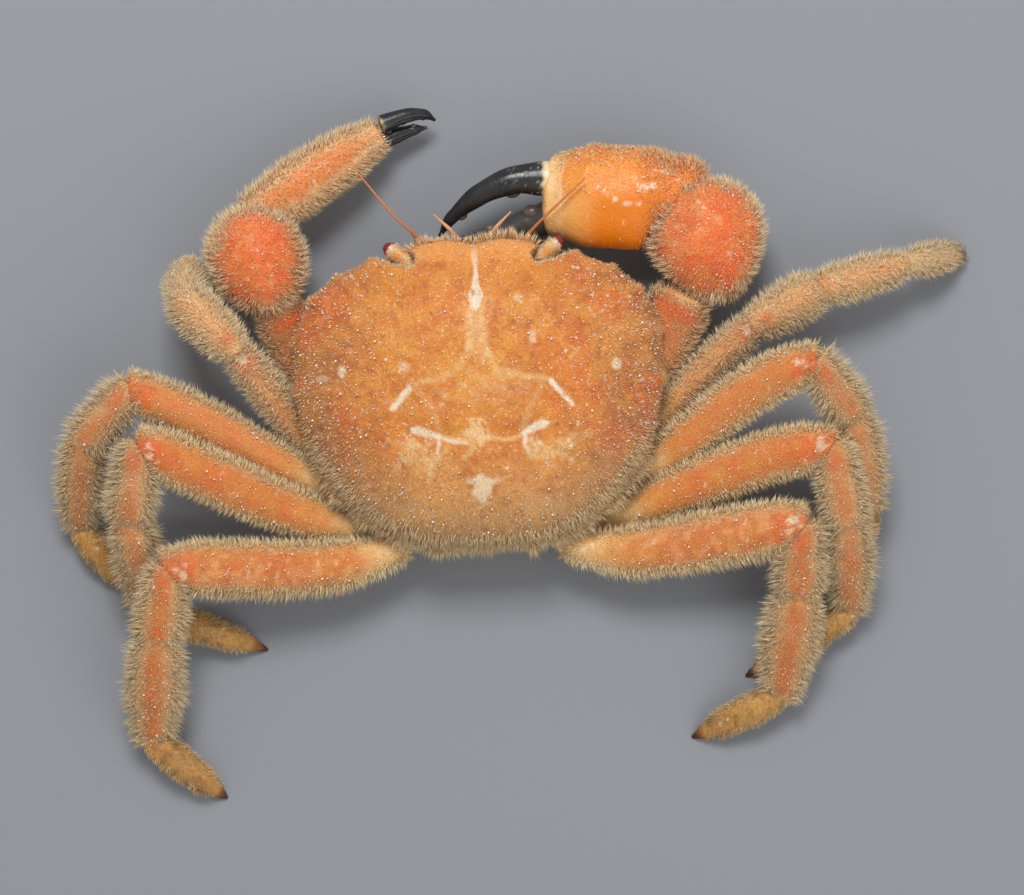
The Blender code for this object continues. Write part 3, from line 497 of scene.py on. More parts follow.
def lofted(tube, rows, columns, start_dome=0.25, end_dome=0.25, floor=True):
    """A tube's shell with rounded ends that bulge by a share of its width."""
    share = np.linspace(0, 1, rows)
    angle = np.linspace(0, math.tau, columns, endpoint=False)
    body = tube.points(share, angle)
    ends = tube.tangent(np.array((0.0, 1.0)))
    shrink = np.array((0.04, 0.25, 0.5, 0.72, 0.88, 0.97))
    grids, shares = [], []
    for ring, bulge, outward, size in (
        (body[0], start_dome, -ends[0], between(tube.widths, np.zeros(1))[0]),
        (body[-1], end_dome, ends[1], between(tube.widths, np.ones(1))[0]),
    ):
        middle = ring.mean(axis=0)
        rise = bulge * size * np.sqrt(1 - shrink**2)
        grids.append(middle + (ring - middle) * shrink[:, None, None] + outward * rise[:, None, None])
    points = np.concatenate([grids[0], body, grids[1][::-1]])
    shares = np.concatenate([np.full(6, -0.02), share, np.full(6, 1.02)])
    if floor:
        points[..., 2] = np.maximum(points[..., 2], 0.0)
    return Skin(points, shares[:, None], angle[None])


def make_mesh(name, points, faces, colours, loop_uvs):
    """A mesh from faces given as arrays of corners, each array with one count of corners."""
    mesh = bpy.data.meshes.new(name)
    corners = np.concatenate([part.ravel() for part in faces]).astype(np.int32)
    counts = np.concatenate([np.full(len(part), part.shape[1]) for part in faces])
    starts = np.concatenate([[0], np.cumsum(counts)[:-1]]).astype(np.int32)
    mesh.vertices.add(len(points))
    mesh.vertices.foreach_set("co", (points * MM).astype(np.float32).ravel())
    mesh.loops.add(len(corners))
    mesh.loops.foreach_set("vertex_index", corners)
    mesh.polygons.add(len(starts))
    mesh.polygons.foreach_set("loop_start", starts)
    mesh.update(calc_edges=True)
    layer = mesh.uv_layers.new(name="OFBake")
    layer.data.foreach_set("uv", loop_uvs.astype(np.float32).ravel())
    paint = mesh.color_attributes.new("paint", "FLOAT_COLOR", "POINT")
    paint.data.foreach_set("color", np.c_[colours, np.ones(len(colours))].astype(np.float32).ravel())
    mesh.shade_smooth()
    return mesh


def add_object(name, mesh, finish):
    mesh.materials.append(finish)
    made = bpy.data.objects.new(name, mesh)
    bpy.context.scene.collection.objects.link(made)
    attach(made, "root")
    return made


def tile(number, count):
    """The part of the unwrap that belongs to one of a piece's shells: lowest corner and size."""
    across = math.ceil(math.sqrt(count))
    row, column = divmod(number, across)
    size = 1 / across
    return np.array((column * size + 0.02 * size, row * size + 0.02 * size)), 0.96 * size


def skin_piece(name, skins, finish, slot, *nodes):
    """One piece of one or more shells, which stands for the given nodes."""
    points, colours, quads, quad_uvs, caps, cap_uvs = [], [], [], [], [], []
    start = 0
    for number, skin in enumerate(skins):
        corner, size = tile(number, len(skins))
        rows, columns = skin.points.shape[:2]
        index = start + np.arange(rows * columns).reshape(rows, columns)
        quads.append(np.stack(skin.around(index), axis=-1).reshape(-1, 4))
        across = columns if skin.wrap else columns - 1
        i, j = np.meshgrid(np.arange(rows - 1), np.arange(across), indexing="ij")
        steps = ((0, 0), (1, 0), (1, 1), (0, 1))
        uv = [np.stack([(j + b) / across, (i + a) / (rows - 1)], axis=-1) for a, b in steps]
        quad_uvs.append(corner + size * np.stack(uv, axis=2).reshape(-1, 2))
        if skin.wrap:
            for ring in (index[0][::-1], index[-1]):
                caps.append(ring[None])
                cap_uvs.append(np.tile(corner + size * 0.01, (columns, 1)))
        points.append(skin.points.reshape(-1, 3))
        # The paint, darkened by the skin's depth as painted shade between the bristles.
        colours.append(mix(skin.paint, skin.paint * SHADE_BETWEEN_BRISTLES, skin.depth).reshape(-1, 3))
        start += rows * columns
    mesh = make_mesh(
        name,
        np.concatenate(points),
        [np.concatenate(quads), *caps],
        np.concatenate(colours),
        np.concatenate([*quad_uvs, *cap_uvs]),
    )
    made = add_object(name, mesh, finish)
    if nodes:
        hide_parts(*nodes)
    return made


# Coat

BRISTLE_PATCH = 0.0015
TUFT_SIZE = 0.75
ROOT_DEPTH = 0.1
RING_GIRTHS = (1.0, 0.72)
# How much the brightness differs from bristle to bristle, and from tuft to tuft.
BRISTLE_TONE = 0.22
TUFT_TONE = 0.16


class Coat:
    """The bristles of one piece. Each is a closed, bent spike with its root sunk in the skin."""

    def __init__(self, name, tiles):
        self.name = name
        self.tiles = tiles
        self.random = np.random.default_rng(sum(map(ord, name)))
        self.points, self.colours, self.faces, self.uvs = [], [], [], []
        self.start = 0

    def scatter(self, skin, number, density):
        """Random places on one shell: how many, a function that reads values there, and their unwrap."""
        size = skin.points.shape[:2]
        p00, p10, p11, p01 = skin.around(skin.points)
        area = 0.5 * np.linalg.norm(np.cross(p10 - p01, p11 - p00), axis=-1)
        weight = (area * sum(skin.around(np.broadcast_to(density, size))) / 4).ravel()
        total = np.cumsum(weight)
        count = int(total[-1])
        chosen = (np.arange(count) + self.random.random(count)) / max(count, 1) * total[-1]
        cell = np.minimum(np.searchsorted(total, chosen), len(total) - 1)
        s, t = self.random.random(count), self.random.random(count)

        def pick(values):
            a, b, c, d = (corner.reshape(-1, *corner.shape[2:])[cell] for corner in skin.around(values))
            s_, t_ = (s, t) if a.ndim == 1 else (s[:, None], t[:, None])
            return (a * (1 - s_) + b * s_) * (1 - t_) + (d * (1 - s_) + c * s_) * t_

        across = size[1] if skin.wrap else size[1] - 1
        row, column = np.divmod(cell, across)
        uv = np.stack([(column + t) / across, (row + s) / (size[0] - 1)], axis=-1)
        corner, scale = tile(number, self.tiles)
        return count, pick, corner + scale * uv

    def grow(self, skin, number, density, length, leans, roots, tips, half_width=0.05, rings=2, lie=None,
             frost=0.0, clump=0.3, tuft=0.0):
        """Bristles on one shell, the number-th tile of the unwrap.

        density is in bristles per square millimetre, leans are the angles from the normal towards the
        lie at the root and at the tip, and roots and tips are the colours there. A share of them, frost,
        has paler tips. clump sways neighbours the same way, and tuft draws their tips together.
        """
        count, pick, uv = self.scatter(skin, number, density)
        if not count:
            return
        length = np.broadcast_to(length, skin.points.shape[:2])
        roots, tips = (np.broadcast_to(shade, skin.points.shape) for shade in (roots, tips))
        normal = unit(pick(skin.normals))
        lie = pick(skin.lie if lie is None else np.broadcast_to(lie, skin.points.shape))
        lie = unit(lie - normal * dot(lie, normal)[:, None])
        frosted = self.random.random(count) < frost
        length = pick(length) * self.random.uniform(0.6, 1.2, count)
        shades = pick(roots), mix(pick(tips), PALE_BRISTLE, 0.75 * frosted)
        self.plant(pick(skin.points), normal, lie, length, leans, shades, uv, half_width, rings, clump, tuft)

    def on(self, skin, number):
        """The function that grows bristles on this one shell."""
        return partial(self.grow, skin, number)

    def plant(self, root, normal, lie, length, leans, shades, uv, half_width, rings, clump, tuft):
        """Bristles of one or two three-sided rings and a point, from their roots in the skin."""
        count = len(root)
        roots, tips = shades
        side = np.cross(normal, lie)
        sway = np.stack([noise(root, 1.1, 20 + k) for k in range(3)], axis=-1)
        stray = self.random.normal(0, 1, (count, 3))
        wander = clump * sway + 0.13 * stray
        first, last = (math.radians(lean) for lean in leans)
        start = unit(normal * math.cos(first) + lie * math.sin(first) + wander * 0.8)
        end = unit(normal * math.cos(last) + lie * math.sin(last) + wander * 1.6 - UP * 0.1)
        cell = np.floor(root / TUFT_SIZE).astype(np.int64)
        jitter = np.stack([lattice(cell, 30 + k) for k in range(3)], axis=-1)
        pull = (cell + 0.5 + 0.3 * jitter) * TUFT_SIZE - root
        pull = tuft * (pull - normal * dot(pull, normal)[:, None])
        knots = [root - normal * ROOT_DEPTH]
        place = root
        for k in range(rings):
            part = (k + 0.5) / rings
            place = place + unit(start * (1 - part) + end * part) * (length / rings)[:, None]
            knots.append(place + pull * (k + 1) / rings)
        one = unit(np.cross(start, side + 0.3 * stray))
        other = np.cross(start, one)
        wide = half_width * self.random.uniform(0.8, 1.25, count)
        layers, shades = [], []
        for k, share in enumerate(RING_GIRTHS[:rings]):
            for turn in (0, 1, 2):
                angle = math.tau * turn / 3
                offset = one * math.cos(angle) + other * math.sin(angle)
                layers.append(knots[k] + offset * (wide * share)[:, None])
                shades.append(mix(roots, tips, np.full(count, 0.15 + 0.6 * k / rings)))
        layers.append(knots[-1])
        shades.append(tips)
        tone = 1 + BRISTLE_TONE * self.random.normal(0, 1, (count, 1, 1)).clip(-2, 2)
        tone = tone + TUFT_TONE * noise(root, 0.5, 40)[:, None, None]
        pattern = [(0, 2, 1)]
        for k in range(rings - 1):
            for a, b in ((0, 1), (1, 2), (2, 0)):
                pattern += [(3 * k + a, 3 * k + b, 3 * k + 3 + b), (3 * k + a, 3 * k + 3 + b, 3 * k + 3 + a)]
        top, tip = 3 * (rings - 1), 3 * rings
        pattern += [(top, top + 1, tip), (top + 1, top + 2, tip), (top + 2, top, tip)]
        spot = [(across, -1 + 2 * k / rings) for k in range(rings) for across in (-1, 1, 0)]
        self.add(np.stack(layers, axis=1), np.stack(shades, axis=1) * tone, pattern, uv, [*spot, (0, 1)])

    def strew(self, skin, number, density, height, size, shade):
        """Granules as high as the velvet, each like a small spinning top with its foot in the skin."""
        count, pick, uv = self.scatter(skin, number, density)
        if not count:
            return
        root, normal = pick(skin.points), unit(pick(skin.normals))
        across = unit(np.cross(normal, pick(skin.lie)))
        along = np.cross(normal, across)
        radius = size * self.random.uniform(0.6, 1.5, (count, 1))
        middle = root + normal * height
        girdle = [middle + radius * way for way in (across, along, -across, -along)]
        points = np.stack([root - normal * ROOT_DEPTH, *girdle, middle + normal * radius], axis=1)
        shades = shade * self.random.uniform(0.82, 1.0, (count, 6, 1))
        pattern = []
        for a, b in ((1, 2), (2, 3), (3, 4), (4, 1)):
            pattern += [(0, b, a), (5, a, b)]
        self.add(points, shades, pattern, uv, [(0, -1), (-1, 0), (0, 0.5), (1, 0), (0, -0.5), (0, 1)])

    def add(self, points, shades, pattern, uv, spot):
        """Adds pieces of one pattern: their points and colours, and their small patches of the unwrap."""
        count, corners = points.shape[:2]
        points[..., 2] = np.maximum(points[..., 2], 0.02)
        pattern = np.array(pattern)
        base = self.start + corners * np.arange(count)
        self.faces.append((base[:, None, None] + pattern).reshape(-1, 3))
        places = uv[:, None] + BRISTLE_PATCH * np.array(spot, float)
        self.uvs.append(places[:, pattern.ravel()].reshape(-1, 2))
        self.points.append(points.reshape(-1, 3))
        self.colours.append(shades.clip(0, 1).reshape(-1, 3))
        self.start += corners * count

    def finish(self, finish, slot):
        mesh = make_mesh(
            self.name,
            np.concatenate(self.points),
            [np.concatenate(self.faces)],
            np.concatenate(self.colours),
            np.concatenate(self.uvs),
        )
        made = add_object(self.name, mesh, finish)


# Materials


def new_material(name, roughness, specular, sheen=0.0):
    made = bpy.data.materials.new(name)
    made.use_nodes = True
    shader = made.node_tree.nodes["Principled BSDF"]
    shader.inputs["Roughness"].default_value = roughness
    shader.inputs["Specular IOR Level"].default_value = specular
    if sheen:
        shader.inputs["Sheen Weight"].default_value = sheen
        shader.inputs["Sheen Roughness"].default_value = 0.5
    return made, made.node_tree, shader


def add_node(tree, kind, **settings):
    node = tree.nodes.new(kind)
    for name, value in settings.items():
        if name in node.inputs:
            node.inputs[name].default_value = value
        else:
            setattr(node, name, value)
    return node


def millimetres(tree):
    """The place on the object in millimetres."""
    place = add_node(tree, "ShaderNodeTexCoord")
    scale = add_node(tree, "ShaderNodeVectorMath", operation="SCALE")
    scale.inputs["Scale"].default_value = 1 / MM
    tree.links.new(place.outputs["Object"], scale.inputs[0])
    return scale.outputs[0]


def noise_node(tree, place, scale, detail=3.0, roughness=0.55):
    node = add_node(tree, "ShaderNodeTexNoise", Scale=scale, Detail=detail, Roughness=roughness)
    tree.links.new(place, node.inputs["Vector"])
    return node.outputs["Fac"]


def cells_node(tree, place, scale):
    node = add_node(tree, "ShaderNodeTexVoronoi", Scale=scale)
    tree.links.new(place, node.inputs["Vector"])
    return node


def maths(tree, operation, first, second):
    node = add_node(tree, "ShaderNodeMath", operation=operation)
    tree.links.new(first, node.inputs[0])
    tree.links.new(second, node.inputs[1])
    return node.outputs[0]


def ranged(tree, value, low, high, to_low, to_high):
    node = add_node(tree, "ShaderNodeMapRange")
    for name, number in zip(("From Min", "From Max", "To Min", "To Max"), (low, high, to_low, to_high)):
        node.inputs[name].default_value = number
    tree.links.new(value, node.inputs["Value"])
    return node.outputs["Result"]


def paint_colour(tree):
    return add_node(tree, "ShaderNodeVertexColor", layer_name="paint").outputs["Color"]


def toned_paint(tree, shade):
    """The paint, made lighter or darker by a shade round 1."""
    tone = add_node(tree, "ShaderNodeVectorMath", operation="SCALE")
    tree.links.new(paint_colour(tree), tone.inputs[0])
    tree.links.new(shade, tone.inputs["Scale"])
    return tone.outputs[0]


def mixed(tree, factor, first, second):
    node = add_node(tree, "ShaderNodeMix", data_type="RGBA")
    for source, target in ((factor, node.inputs[0]), (first, node.inputs[6]), (second, node.inputs[7])):
        if isinstance(source, bpy.types.NodeSocket):
            tree.links.new(source, target)
        else:
            target.default_value = (*source, 1)
    return node.outputs[2]


def bumped(tree, shader, height, distance, strength=1.0):
    node = add_node(tree, "ShaderNodeBump", Strength=strength, Distance=distance * MM)
    tree.links.new(height, node.inputs["Height"])
    tree.links.new(node.outputs["Normal"], shader.inputs["Normal"])


def shell_material(name, roughness, mottle, grain, speck=0.0):
    """Crab shell: paint broken up by fine mottling, pits and granules, and a few pale specks."""
    made, tree, shader = new_material(name, roughness, 0.45)
    place = millimetres(tree)
    fine = noise_node(tree, place, 2.6, 4.0)
    shade = ranged(tree, fine, 0.3, 0.7, 1 - mottle, 1 + mottle)
    result = toned_paint(tree, shade)
    granules = cells_node(tree, place, 2.8)
    if speck:
        flecks = cells_node(tree, place, 1.9)
        near = ranged(tree, flecks.outputs["Distance"], 0.16, 0.1, 0.0, 1.0)
        chance = add_node(tree, "ShaderNodeSeparateColor")
        tree.links.new(flecks.outputs["Color"], chance.inputs[0])
        some = ranged(tree, chance.outputs[0], speck, speck - 0.02, 0.0, 1.0)
        result = mixed(tree, maths(tree, "MULTIPLY", near, some), result, tuple(SPECK))
    tree.links.new(result, shader.inputs["Base Color"])
    rough = ranged(tree, fine, 0.3, 0.7, roughness + 0.1, roughness - 0.1)
    tree.links.new(rough, shader.inputs["Roughness"])
    knobs = ranged(tree, granules.outputs["Distance"], 0.0, 0.5, 0.8, 0.0)
    bumped(tree, shader, maths(tree, "ADD", noise_node(tree, place, 5.0, 3.0), knobs), grain)
    return made


def finger_material():
    """The glossy, nearly black fingers, worn paler on their ridges and finely pitted."""
    made, tree, shader = new_material("finger_black", 0.3, 0.5)
    place = millimetres(tree)
    wear = noise_node(tree, place, 1.6, 5.0, 0.65)
    worn = mixed(tree, ranged(tree, wear, 0.6, 0.8, 0.0, 0.35), paint_colour(tree), tuple(DARK_GREY))
    tree.links.new(worn, shader.inputs["Base Color"])
    tree.links.new(ranged(tree, wear, 0.35, 0.7, 0.22, 0.42), shader.inputs["Roughness"])
    bumped(tree, shader, noise_node(tree, place, 7.0, 3.0), 0.03, 0.6)
    return made


def bristle_material(name, roughness):
    """Stiff setae, each slightly streaked along its length, with a soft sheen."""
    made, tree, shader = new_material(name, roughness, 0.35, sheen=0.6)
    shader.inputs["Sheen Tint"].default_value = (1.0, 0.86, 0.64, 1)
    place = millimetres(tree)
    shade = ranged(tree, noise_node(tree, place, 6.0, 2.0), 0.3, 0.7, 0.86, 1.14)
    tree.links.new(toned_paint(tree, shade), shader.inputs["Base Color"])
    bumped(tree, shader, noise_node(tree, place, 14.0, 2.0), 0.01, 0.5)
    return made


def eye_material():
    """The wet cornea: deep crimson under a clear coat, faceted very finely."""
    made, tree, shader = new_material("eye_red", 0.12, 0.5)
    place = millimetres(tree)
    facets = cells_node(tree, place, 9.0)
    shade = ranged(tree, facets.outputs["Distance"], 0.0, 0.6, 1.15, 0.8)
    tree.links.new(toned_paint(tree, shade), shader.inputs["Base Color"])
    shader.inputs["Coat Weight"].default_value = 0.8
    shader.inputs["Coat Roughness"].default_value = 0.05
    bumped(tree, shader, facets.outputs["Distance"], 0.01, 0.4)
    return made


FINISH = {
    "carapace": shell_material("carapace_shell", 0.55, 0.12, 0.07, speck=0.4),
    "leg": shell_material("leg_shell", 0.6, 0.12, 0.06, speck=0.16),
    "claw": shell_material("claw_shell", 0.42, 0.08, 0.05, speck=0.1),
    "pale": shell_material("underside_shell", 0.5, 0.08, 0.05),
    "foot": shell_material("foot_horn", 0.45, 0.12, 0.05),
    "finger": finger_material(),
    "feeler": shell_material("feeler_skin", 0.45, 0.1, 0.02),
    "eye": eye_material(),
    "bristle": bristle_material("bristles", 0.6),
}


# Carapace


def tooth_lift(place):
    return sum(TOOTH_HEIGHT * bump(place, tooth, TOOTH_SPREAD) for tooth in TOOTH_PLACES)


def outward_level(ahead):
    return unit(np.stack([ahead[:, 1], -ahead[:, 0], 0 * ahead[:, 0]], axis=-1))


def outline_half(place):
    points = [(x, y, 0) for x, y in HALF_OUTLINE]
    place = np.asarray(place, float)
    here = spline(points, place / OUTLINE_END)
    ahead = spline(points, (place + 0.1) / OUTLINE_END) - spline(points, (place - 0.1) / OUTLINE_END)
    return here + outward_level(ahead) * tooth_lift(place)[:, None]


def outline_place(turn):
    """The place along HALF_OUTLINE, on either side, that a turn round the whole outline comes to."""
    return np.where(turn <= 0.5, turn, 1 - turn) * 2 * OUTLINE_END


def outline(turn):
    """Points of the outline, for turns from 0 at the middle of the front, round the left side, to 1."""
    points = outline_half(outline_place(turn))
    points[:, 0] *= np.where(turn <= 0.5, 1, -1)
    return points


def edge_height(point):
    forward = np.maximum(0, point[..., 1] / FRONT_Y) ** 3
    backward = np.maximum(0, point[..., 1] / REAR_Y) ** 3
    return EDGE_Z_SIDE + (EDGE_Z_FRONT - EDGE_Z_SIDE) * forward + (EDGE_Z_REAR - EDGE_Z_SIDE) * backward


def swelling(x, y, centre_x, centre_y, reach_x, reach_y, height):
    return height * np.exp(-(((np.abs(x) - centre_x) / reach_x) ** 2) - ((y - centre_y) / reach_y) ** 2)


REGIONS = (
    (0.0, -9.0, 5.5, 5.0, 0.25),
    (8.0, -8.0, 5.0, 5.0, 0.35),
    (15.0, 2.0, 5.5, 7.5, 0.45),
    (17.0, -10.0, 4.0, 3.5, 0.25),
    (0.0, 9.5, 4.0, 3.5, 0.4),
    (0.0, 1.0, 4.5, 3.0, 0.3),
    (9.8, 1.0, 1.4, 3.2, -0.5),
    (6.0, 5.0, 3.4, 1.1, -0.4),
    (6.4, 10.0, 1.4, 3.6, -0.3),
)
# Finer forms that the solids leave out: knobs, pits and the grooves between the regions.
FINE_REGIONS = (
    (0.0, -14.5, 0.45, 4.5, -0.22),
    (3.4, -16.6, 1.5, 1.3, 0.22),
    (4.6, -11.5, 1.9, 2.4, 0.14),
    (9.2, -14.0, 1.8, 1.6, 0.18),
    (13.2, -13.2, 1.5, 1.5, 0.16),
    (12.6, -8.6, 1.9, 1.6, 0.16),
    (17.2, -6.6, 1.8, 1.6, 0.18),
    (20.4, -8.2, 1.3, 1.5, 0.14),
    (11.2, -4.6, 2.6, 0.8, -0.14),
    (3.4, -5.0, 1.4, 2.0, -0.12),
    (19.0, 1.6, 1.9, 2.2, 0.14),
    (14.4, 7.4, 2.4, 1.8, 0.12),
    (3.2, 3.4, 1.2, 1.2, 0.14),
    (3.6, 13.4, 2.4, 1.2, 0.1),
)


def dome_height(point, share):
    edge = edge_height(point)
    rise = (1 - share**3.0) ** 0.62
    x, y = point[..., 0] * share, point[..., 1] * share
    relief = sum(swelling(x, y, *shape) for shape in REGIONS)
    return edge + (TOP_Z - edge) * rise + relief * (1 - share**6)


# Pale lines of the carapace: the path, its half widths, how softly it fades, and its strength.
FAINT_LINES = (
    ([(0.7, -11.4), (0.85, -8.5), (1.1, -6.2), (2.2, -4.2), (4.4, -2.6), (8.9, -1.8)],
     (0.3, 0.3, 0.35, 0.35, 0.3, 0.1), 0.5, 0.8),
    ([(-0.8, -11.4), (-0.95, -8.5), (-1.2, -6.2), (-2.0, -4.4), (-3.4, -3.0), (-9.6, -1.8)],
     (0.3, 0.3, 0.35, 0.35, 0.3, 0.1), 0.5, 0.85),
    ([(6.8, -18.7), (8.8, -17.1)], (0.25, 0.2), 0.25, 0.4),
    ([(-6.8, -18.7), (-8.8, -17.1)], (0.25, 0.2), 0.25, 0.4),
    ([(-12.3, -4.6), (-13.4, -5.8)], (0.25, 0.15), 0.3, 0.7),
    ([(8.2, -1.4), (6.2, 1.4), (5.2, 4.4)], (0.3, 0.3, 0.2), 0.6, 0.5),
    ([(-8.4, -1.2), (-6.8, 1.6), (-5.6, 4.6)], (0.3, 0.3, 0.2), 0.6, 0.5),
    ([(5.2, 5.2), (2.1, 5.9), (0.8, 5.6)], (0.25, 0.15, 0.2), 0.3, 0.9),
    ([(-5.8, 5.3), (-3.5, 5.9), (-1.2, 5.4)], (0.25, 0.15, 0.2), 0.3, 0.9),
    ([(-6.2, 7.6), (-7.6, 8.3), (-9.6, 7.9), (-12.6, 5.5)], (0.3, 0.45, 0.4, 0.1), 0.4, 0.8),
    ([(5.6, 7.2), (6.6, 8.2), (8.4, 8.2)], (0.3, 0.45, 0.3), 0.4, 0.8),
    ([(9.6, 5.8), (10.6, 7.2), (9.4, 8.8)], (0.2, 0.3, 0.2), 0.5, 0.4),
    ([(-2.0, 11.4), (-3.9, 10.6)], (0.2, 0.1), 0.25, 0.8),
    ([(1.1, 6.4), (1.3, 7.4), (2.2, 8.1)], (0.4, 0.3, 0.3), 0.3, 0.8),
)
# White strokes: the path, its half widths and its strength.
WHITE_LINES = (
    ([(-0.1, -20.3), (-0.1, -18.8), (-0.2, -16.9), (-0.15, -14.6), (-0.1, -13.1), (0.0, -11.6)],
     (0.22, 0.46, 0.22, 0.5, 0.95, 0.5), 0.9),
    ([(9.0, -1.3), (11.3, 1.3)], (0.42, 0.38), 0.92),
    ([(-9.6, -1.5), (-12.3, 1.6)], (0.36, 0.28), 0.92),
    ([(8.9, 4.2), (8.2, 4.3), (7.2, 4.6), (5.4, 5.1)], (0.3, 0.58, 0.54, 0.3), 0.9),
    ([(5.6, 5.2), (5.4, 6.2), (5.7, 7.3)], (0.26, 0.24, 0.2), 0.75),
    ([(-8.9, 3.9), (-8.2, 4.1), (-7.2, 4.4), (-5.8, 5.1)], (0.3, 0.56, 0.56, 0.32), 0.9),
    ([(-6.0, 5.4), (-5.8, 6.4), (-6.3, 7.6)], (0.26, 0.24, 0.2), 0.75),
    ([(5.2, 5.3), (3.4, 6.0), (1.8, 6.1)], (0.2, 0.28, 0.2), 0.6),
    ([(5.1, 1.1), (4.6, 0.9)], (0.2, 0.1), 0.6),
)
# Cloudy pale patches and small white ones: the middle, the reach each way and the strength.
PALE_PATCHES = (
    ((7.8, 7.6), (3.2, 2.2), 0.6),
    ((-8.6, 7.4), (3.4, 1.9), 0.6),
    ((0.3, 5.2), (2.2, 1.8), 0.6),
    ((10.0, 1.0), (4.0, 1.0), 0.15),
    ((0.2, -8.5), (1.8, 4.5), 0.25),
    ((0.0, -1.5), (5.5, 2.6), 0.22),
    ((0.4, 4.6), (1.5, 1.3), 0.7),
    ((-0.6, 5.6), (1.0, 0.8), 0.5),
    ((-7.6, 7.0), (1.8, 1.2), 0.5),
    ((8.0, 7.6), (1.8, 1.3), 0.5),
    ((9.8, 6.2), (2.2, 0.9), 0.4),
    ((9.5, 15.0), (3.5, 1.2), 0.3),
    ((-9.0, 15.2), (3.5, 1.2), 0.3),
    ((-11.5, 6.0), (2.0, 1.2), 0.3),
)
WHITE_PATCHES = (
    ((17.9, -3.8), (0.6, 0.95), 0.85),
    ((-18.4, -3.5), (0.7, 0.8), 0.8),
    ((9.5, -4.1), (0.8, 0.7), 0.35),
    ((-5.6, -12.7), (0.7, 0.7), 0.35),
    ((-7.3, -7.5), (0.5, 0.9), 0.4),
    ((20.6, -3.0), (1.0, 0.5), 0.4),
)


def carapace_paint(points):
    """The carapace's orange, mottled brown and tan, with its pale figure and white strokes."""
    x, y = points[..., 0], points[..., 1]
    level = np.stack([x, y, 0 * x], axis=-1)
    broad, patchy, fine = fractal(level, 6.0, 3, 1), fractal(level, 2.2, 3, 2), fractal(level, 0.8, 2, 3)
    centre = np.exp(-((x / 13.0) ** 2) - ((y + 6.0) / 12.0) ** 2)
    flank = smooth(9.0, 22.0, np.abs(x) + 1.5 * broad)
    rear = smooth(4.0, 17.0, y + 2.0 * broad)
    tiny = fractal(level, 0.35, 2, 4)
    paint = layered(
        mix(ORANGE, BRIGHT_ORANGE, 0.4 * smooth(-10.0, -19.0, y)),
        (colour(248, 154, 74), 0.55 * smooth(-15.5, -19.5, y)),
        (BROWN_ORANGE, (0.6 * flank + 0.25 * (1 - centre)) * smooth(-0.3, 0.3, patchy)),
        # Tan towards the rear and flanks is the shell's own colour there, laid on paler as painted light
        # against the shade at the dome's edges.
        (TAN_ORANGE, 0.8 * rear + 0.2 * flank),
        (colour(224, 160, 62), 0.6 * (0.3 + 0.7 * centre) * smooth(-0.1, 0.5, -patchy)),
        (BROWN_ORANGE, 0.45 * smooth(0.0, 0.5, fine) * smooth(-0.2, 0.4, patchy)),
        (RED_ORANGE, 0.55 * smooth(0.05, 0.5, broad) * (0.3 + 0.7 * flank) * (1 - rear)),
        (colour(160, 90, 44), 0.4 * smooth(0.25, 0.7, fine + 0.6 * tiny) * (0.4 + 0.6 * flank)),
        (colour(238, 186, 110), 0.35 * smooth(0.2, 0.7, tiny - 0.4 * fine)),
    )
    pale = mix(mix(CREAM, WHITE, 0.3), YELLOW_ORANGE, 0.35)
    cloudy = 0.85 + 1.3 * fine + 0.5 * tiny
    for middle, reach, amount in PALE_PATCHES:
        paint = mix(paint, pale, np.clip(amount * cloudy, 0, 1) * blob(points, middle, reach, 0.8))
    stem = smooth(1.3, 0.5, np.abs(x - 0.05)) * smooth(-12.6, -11.0, y) * smooth(-4.8, -6.6, y)
    paint = mix(paint, pale, 0.5 * stem * (0.8 + 0.4 * fine))
    faint = mix(CREAM, YELLOW_ORANGE, 0.15)
    for path, half_widths, soft_width, amount in FAINT_LINES:
        strength = amount * (0.75 + 0.45 * fine)
        paint = mix(paint, faint, strength * stroke(points, path, half_widths, soft_width))
    for path, half_widths, amount in WHITE_LINES:
        strength = np.clip(amount * (1.0 + 0.3 * fine), 0, 1)
        paint = mix(paint, CHALK, strength * stroke(points, path, half_widths, 0.16, 0.16))
    grains = speckle(points, 0.45, 0.6, 77) * blob(points, (-0.05, -12.0), (1.2, 2.2), 0.6)
    paint = mix(paint, WHITE, 0.8 * grains)
    tip = np.abs(x + 0.1) + 0.72 * (y - 10.9) + 0.9 * fine + 0.5 * patchy
    wedge = smooth(2.9, 1.7, tip) * smooth(10.5, 11.3, y + 0.6 * fine + 0.5 * smooth(1.2, 0.3, np.abs(x)))
    paint = mix(paint, mix(CREAM, WHITE, 0.6), 0.95 * wedge)
    for middle, reach, amount in WHITE_PATCHES:
        paint = mix(paint, WHITE, amount * blob(points, middle, reach, 0.3))
    dots = speckle(points, 1.3, 0.3, 53) * smooth(2.0, 8.0, np.hypot(x, y))
    crowd = 0.14 + 0.34 * flank + 0.16 * smooth(0.0, 0.6, broad) + 0.1 * smooth(6.0, 16.0, y)
    return layered(
        paint,
        (colour(112, 62, 34), 0.6 * dots),
        (SPECK_PINK, 0.6 * speckle(points, 0.6, 1.2 * crowd, 31)),
        (SPECK, 0.85 * speckle(points, 0.95, 0.5 * crowd, 47)),
    )


ORBIT_ENDS = ((8.6, -18.4, 10.3), (14.0, -21.6, 10.8))


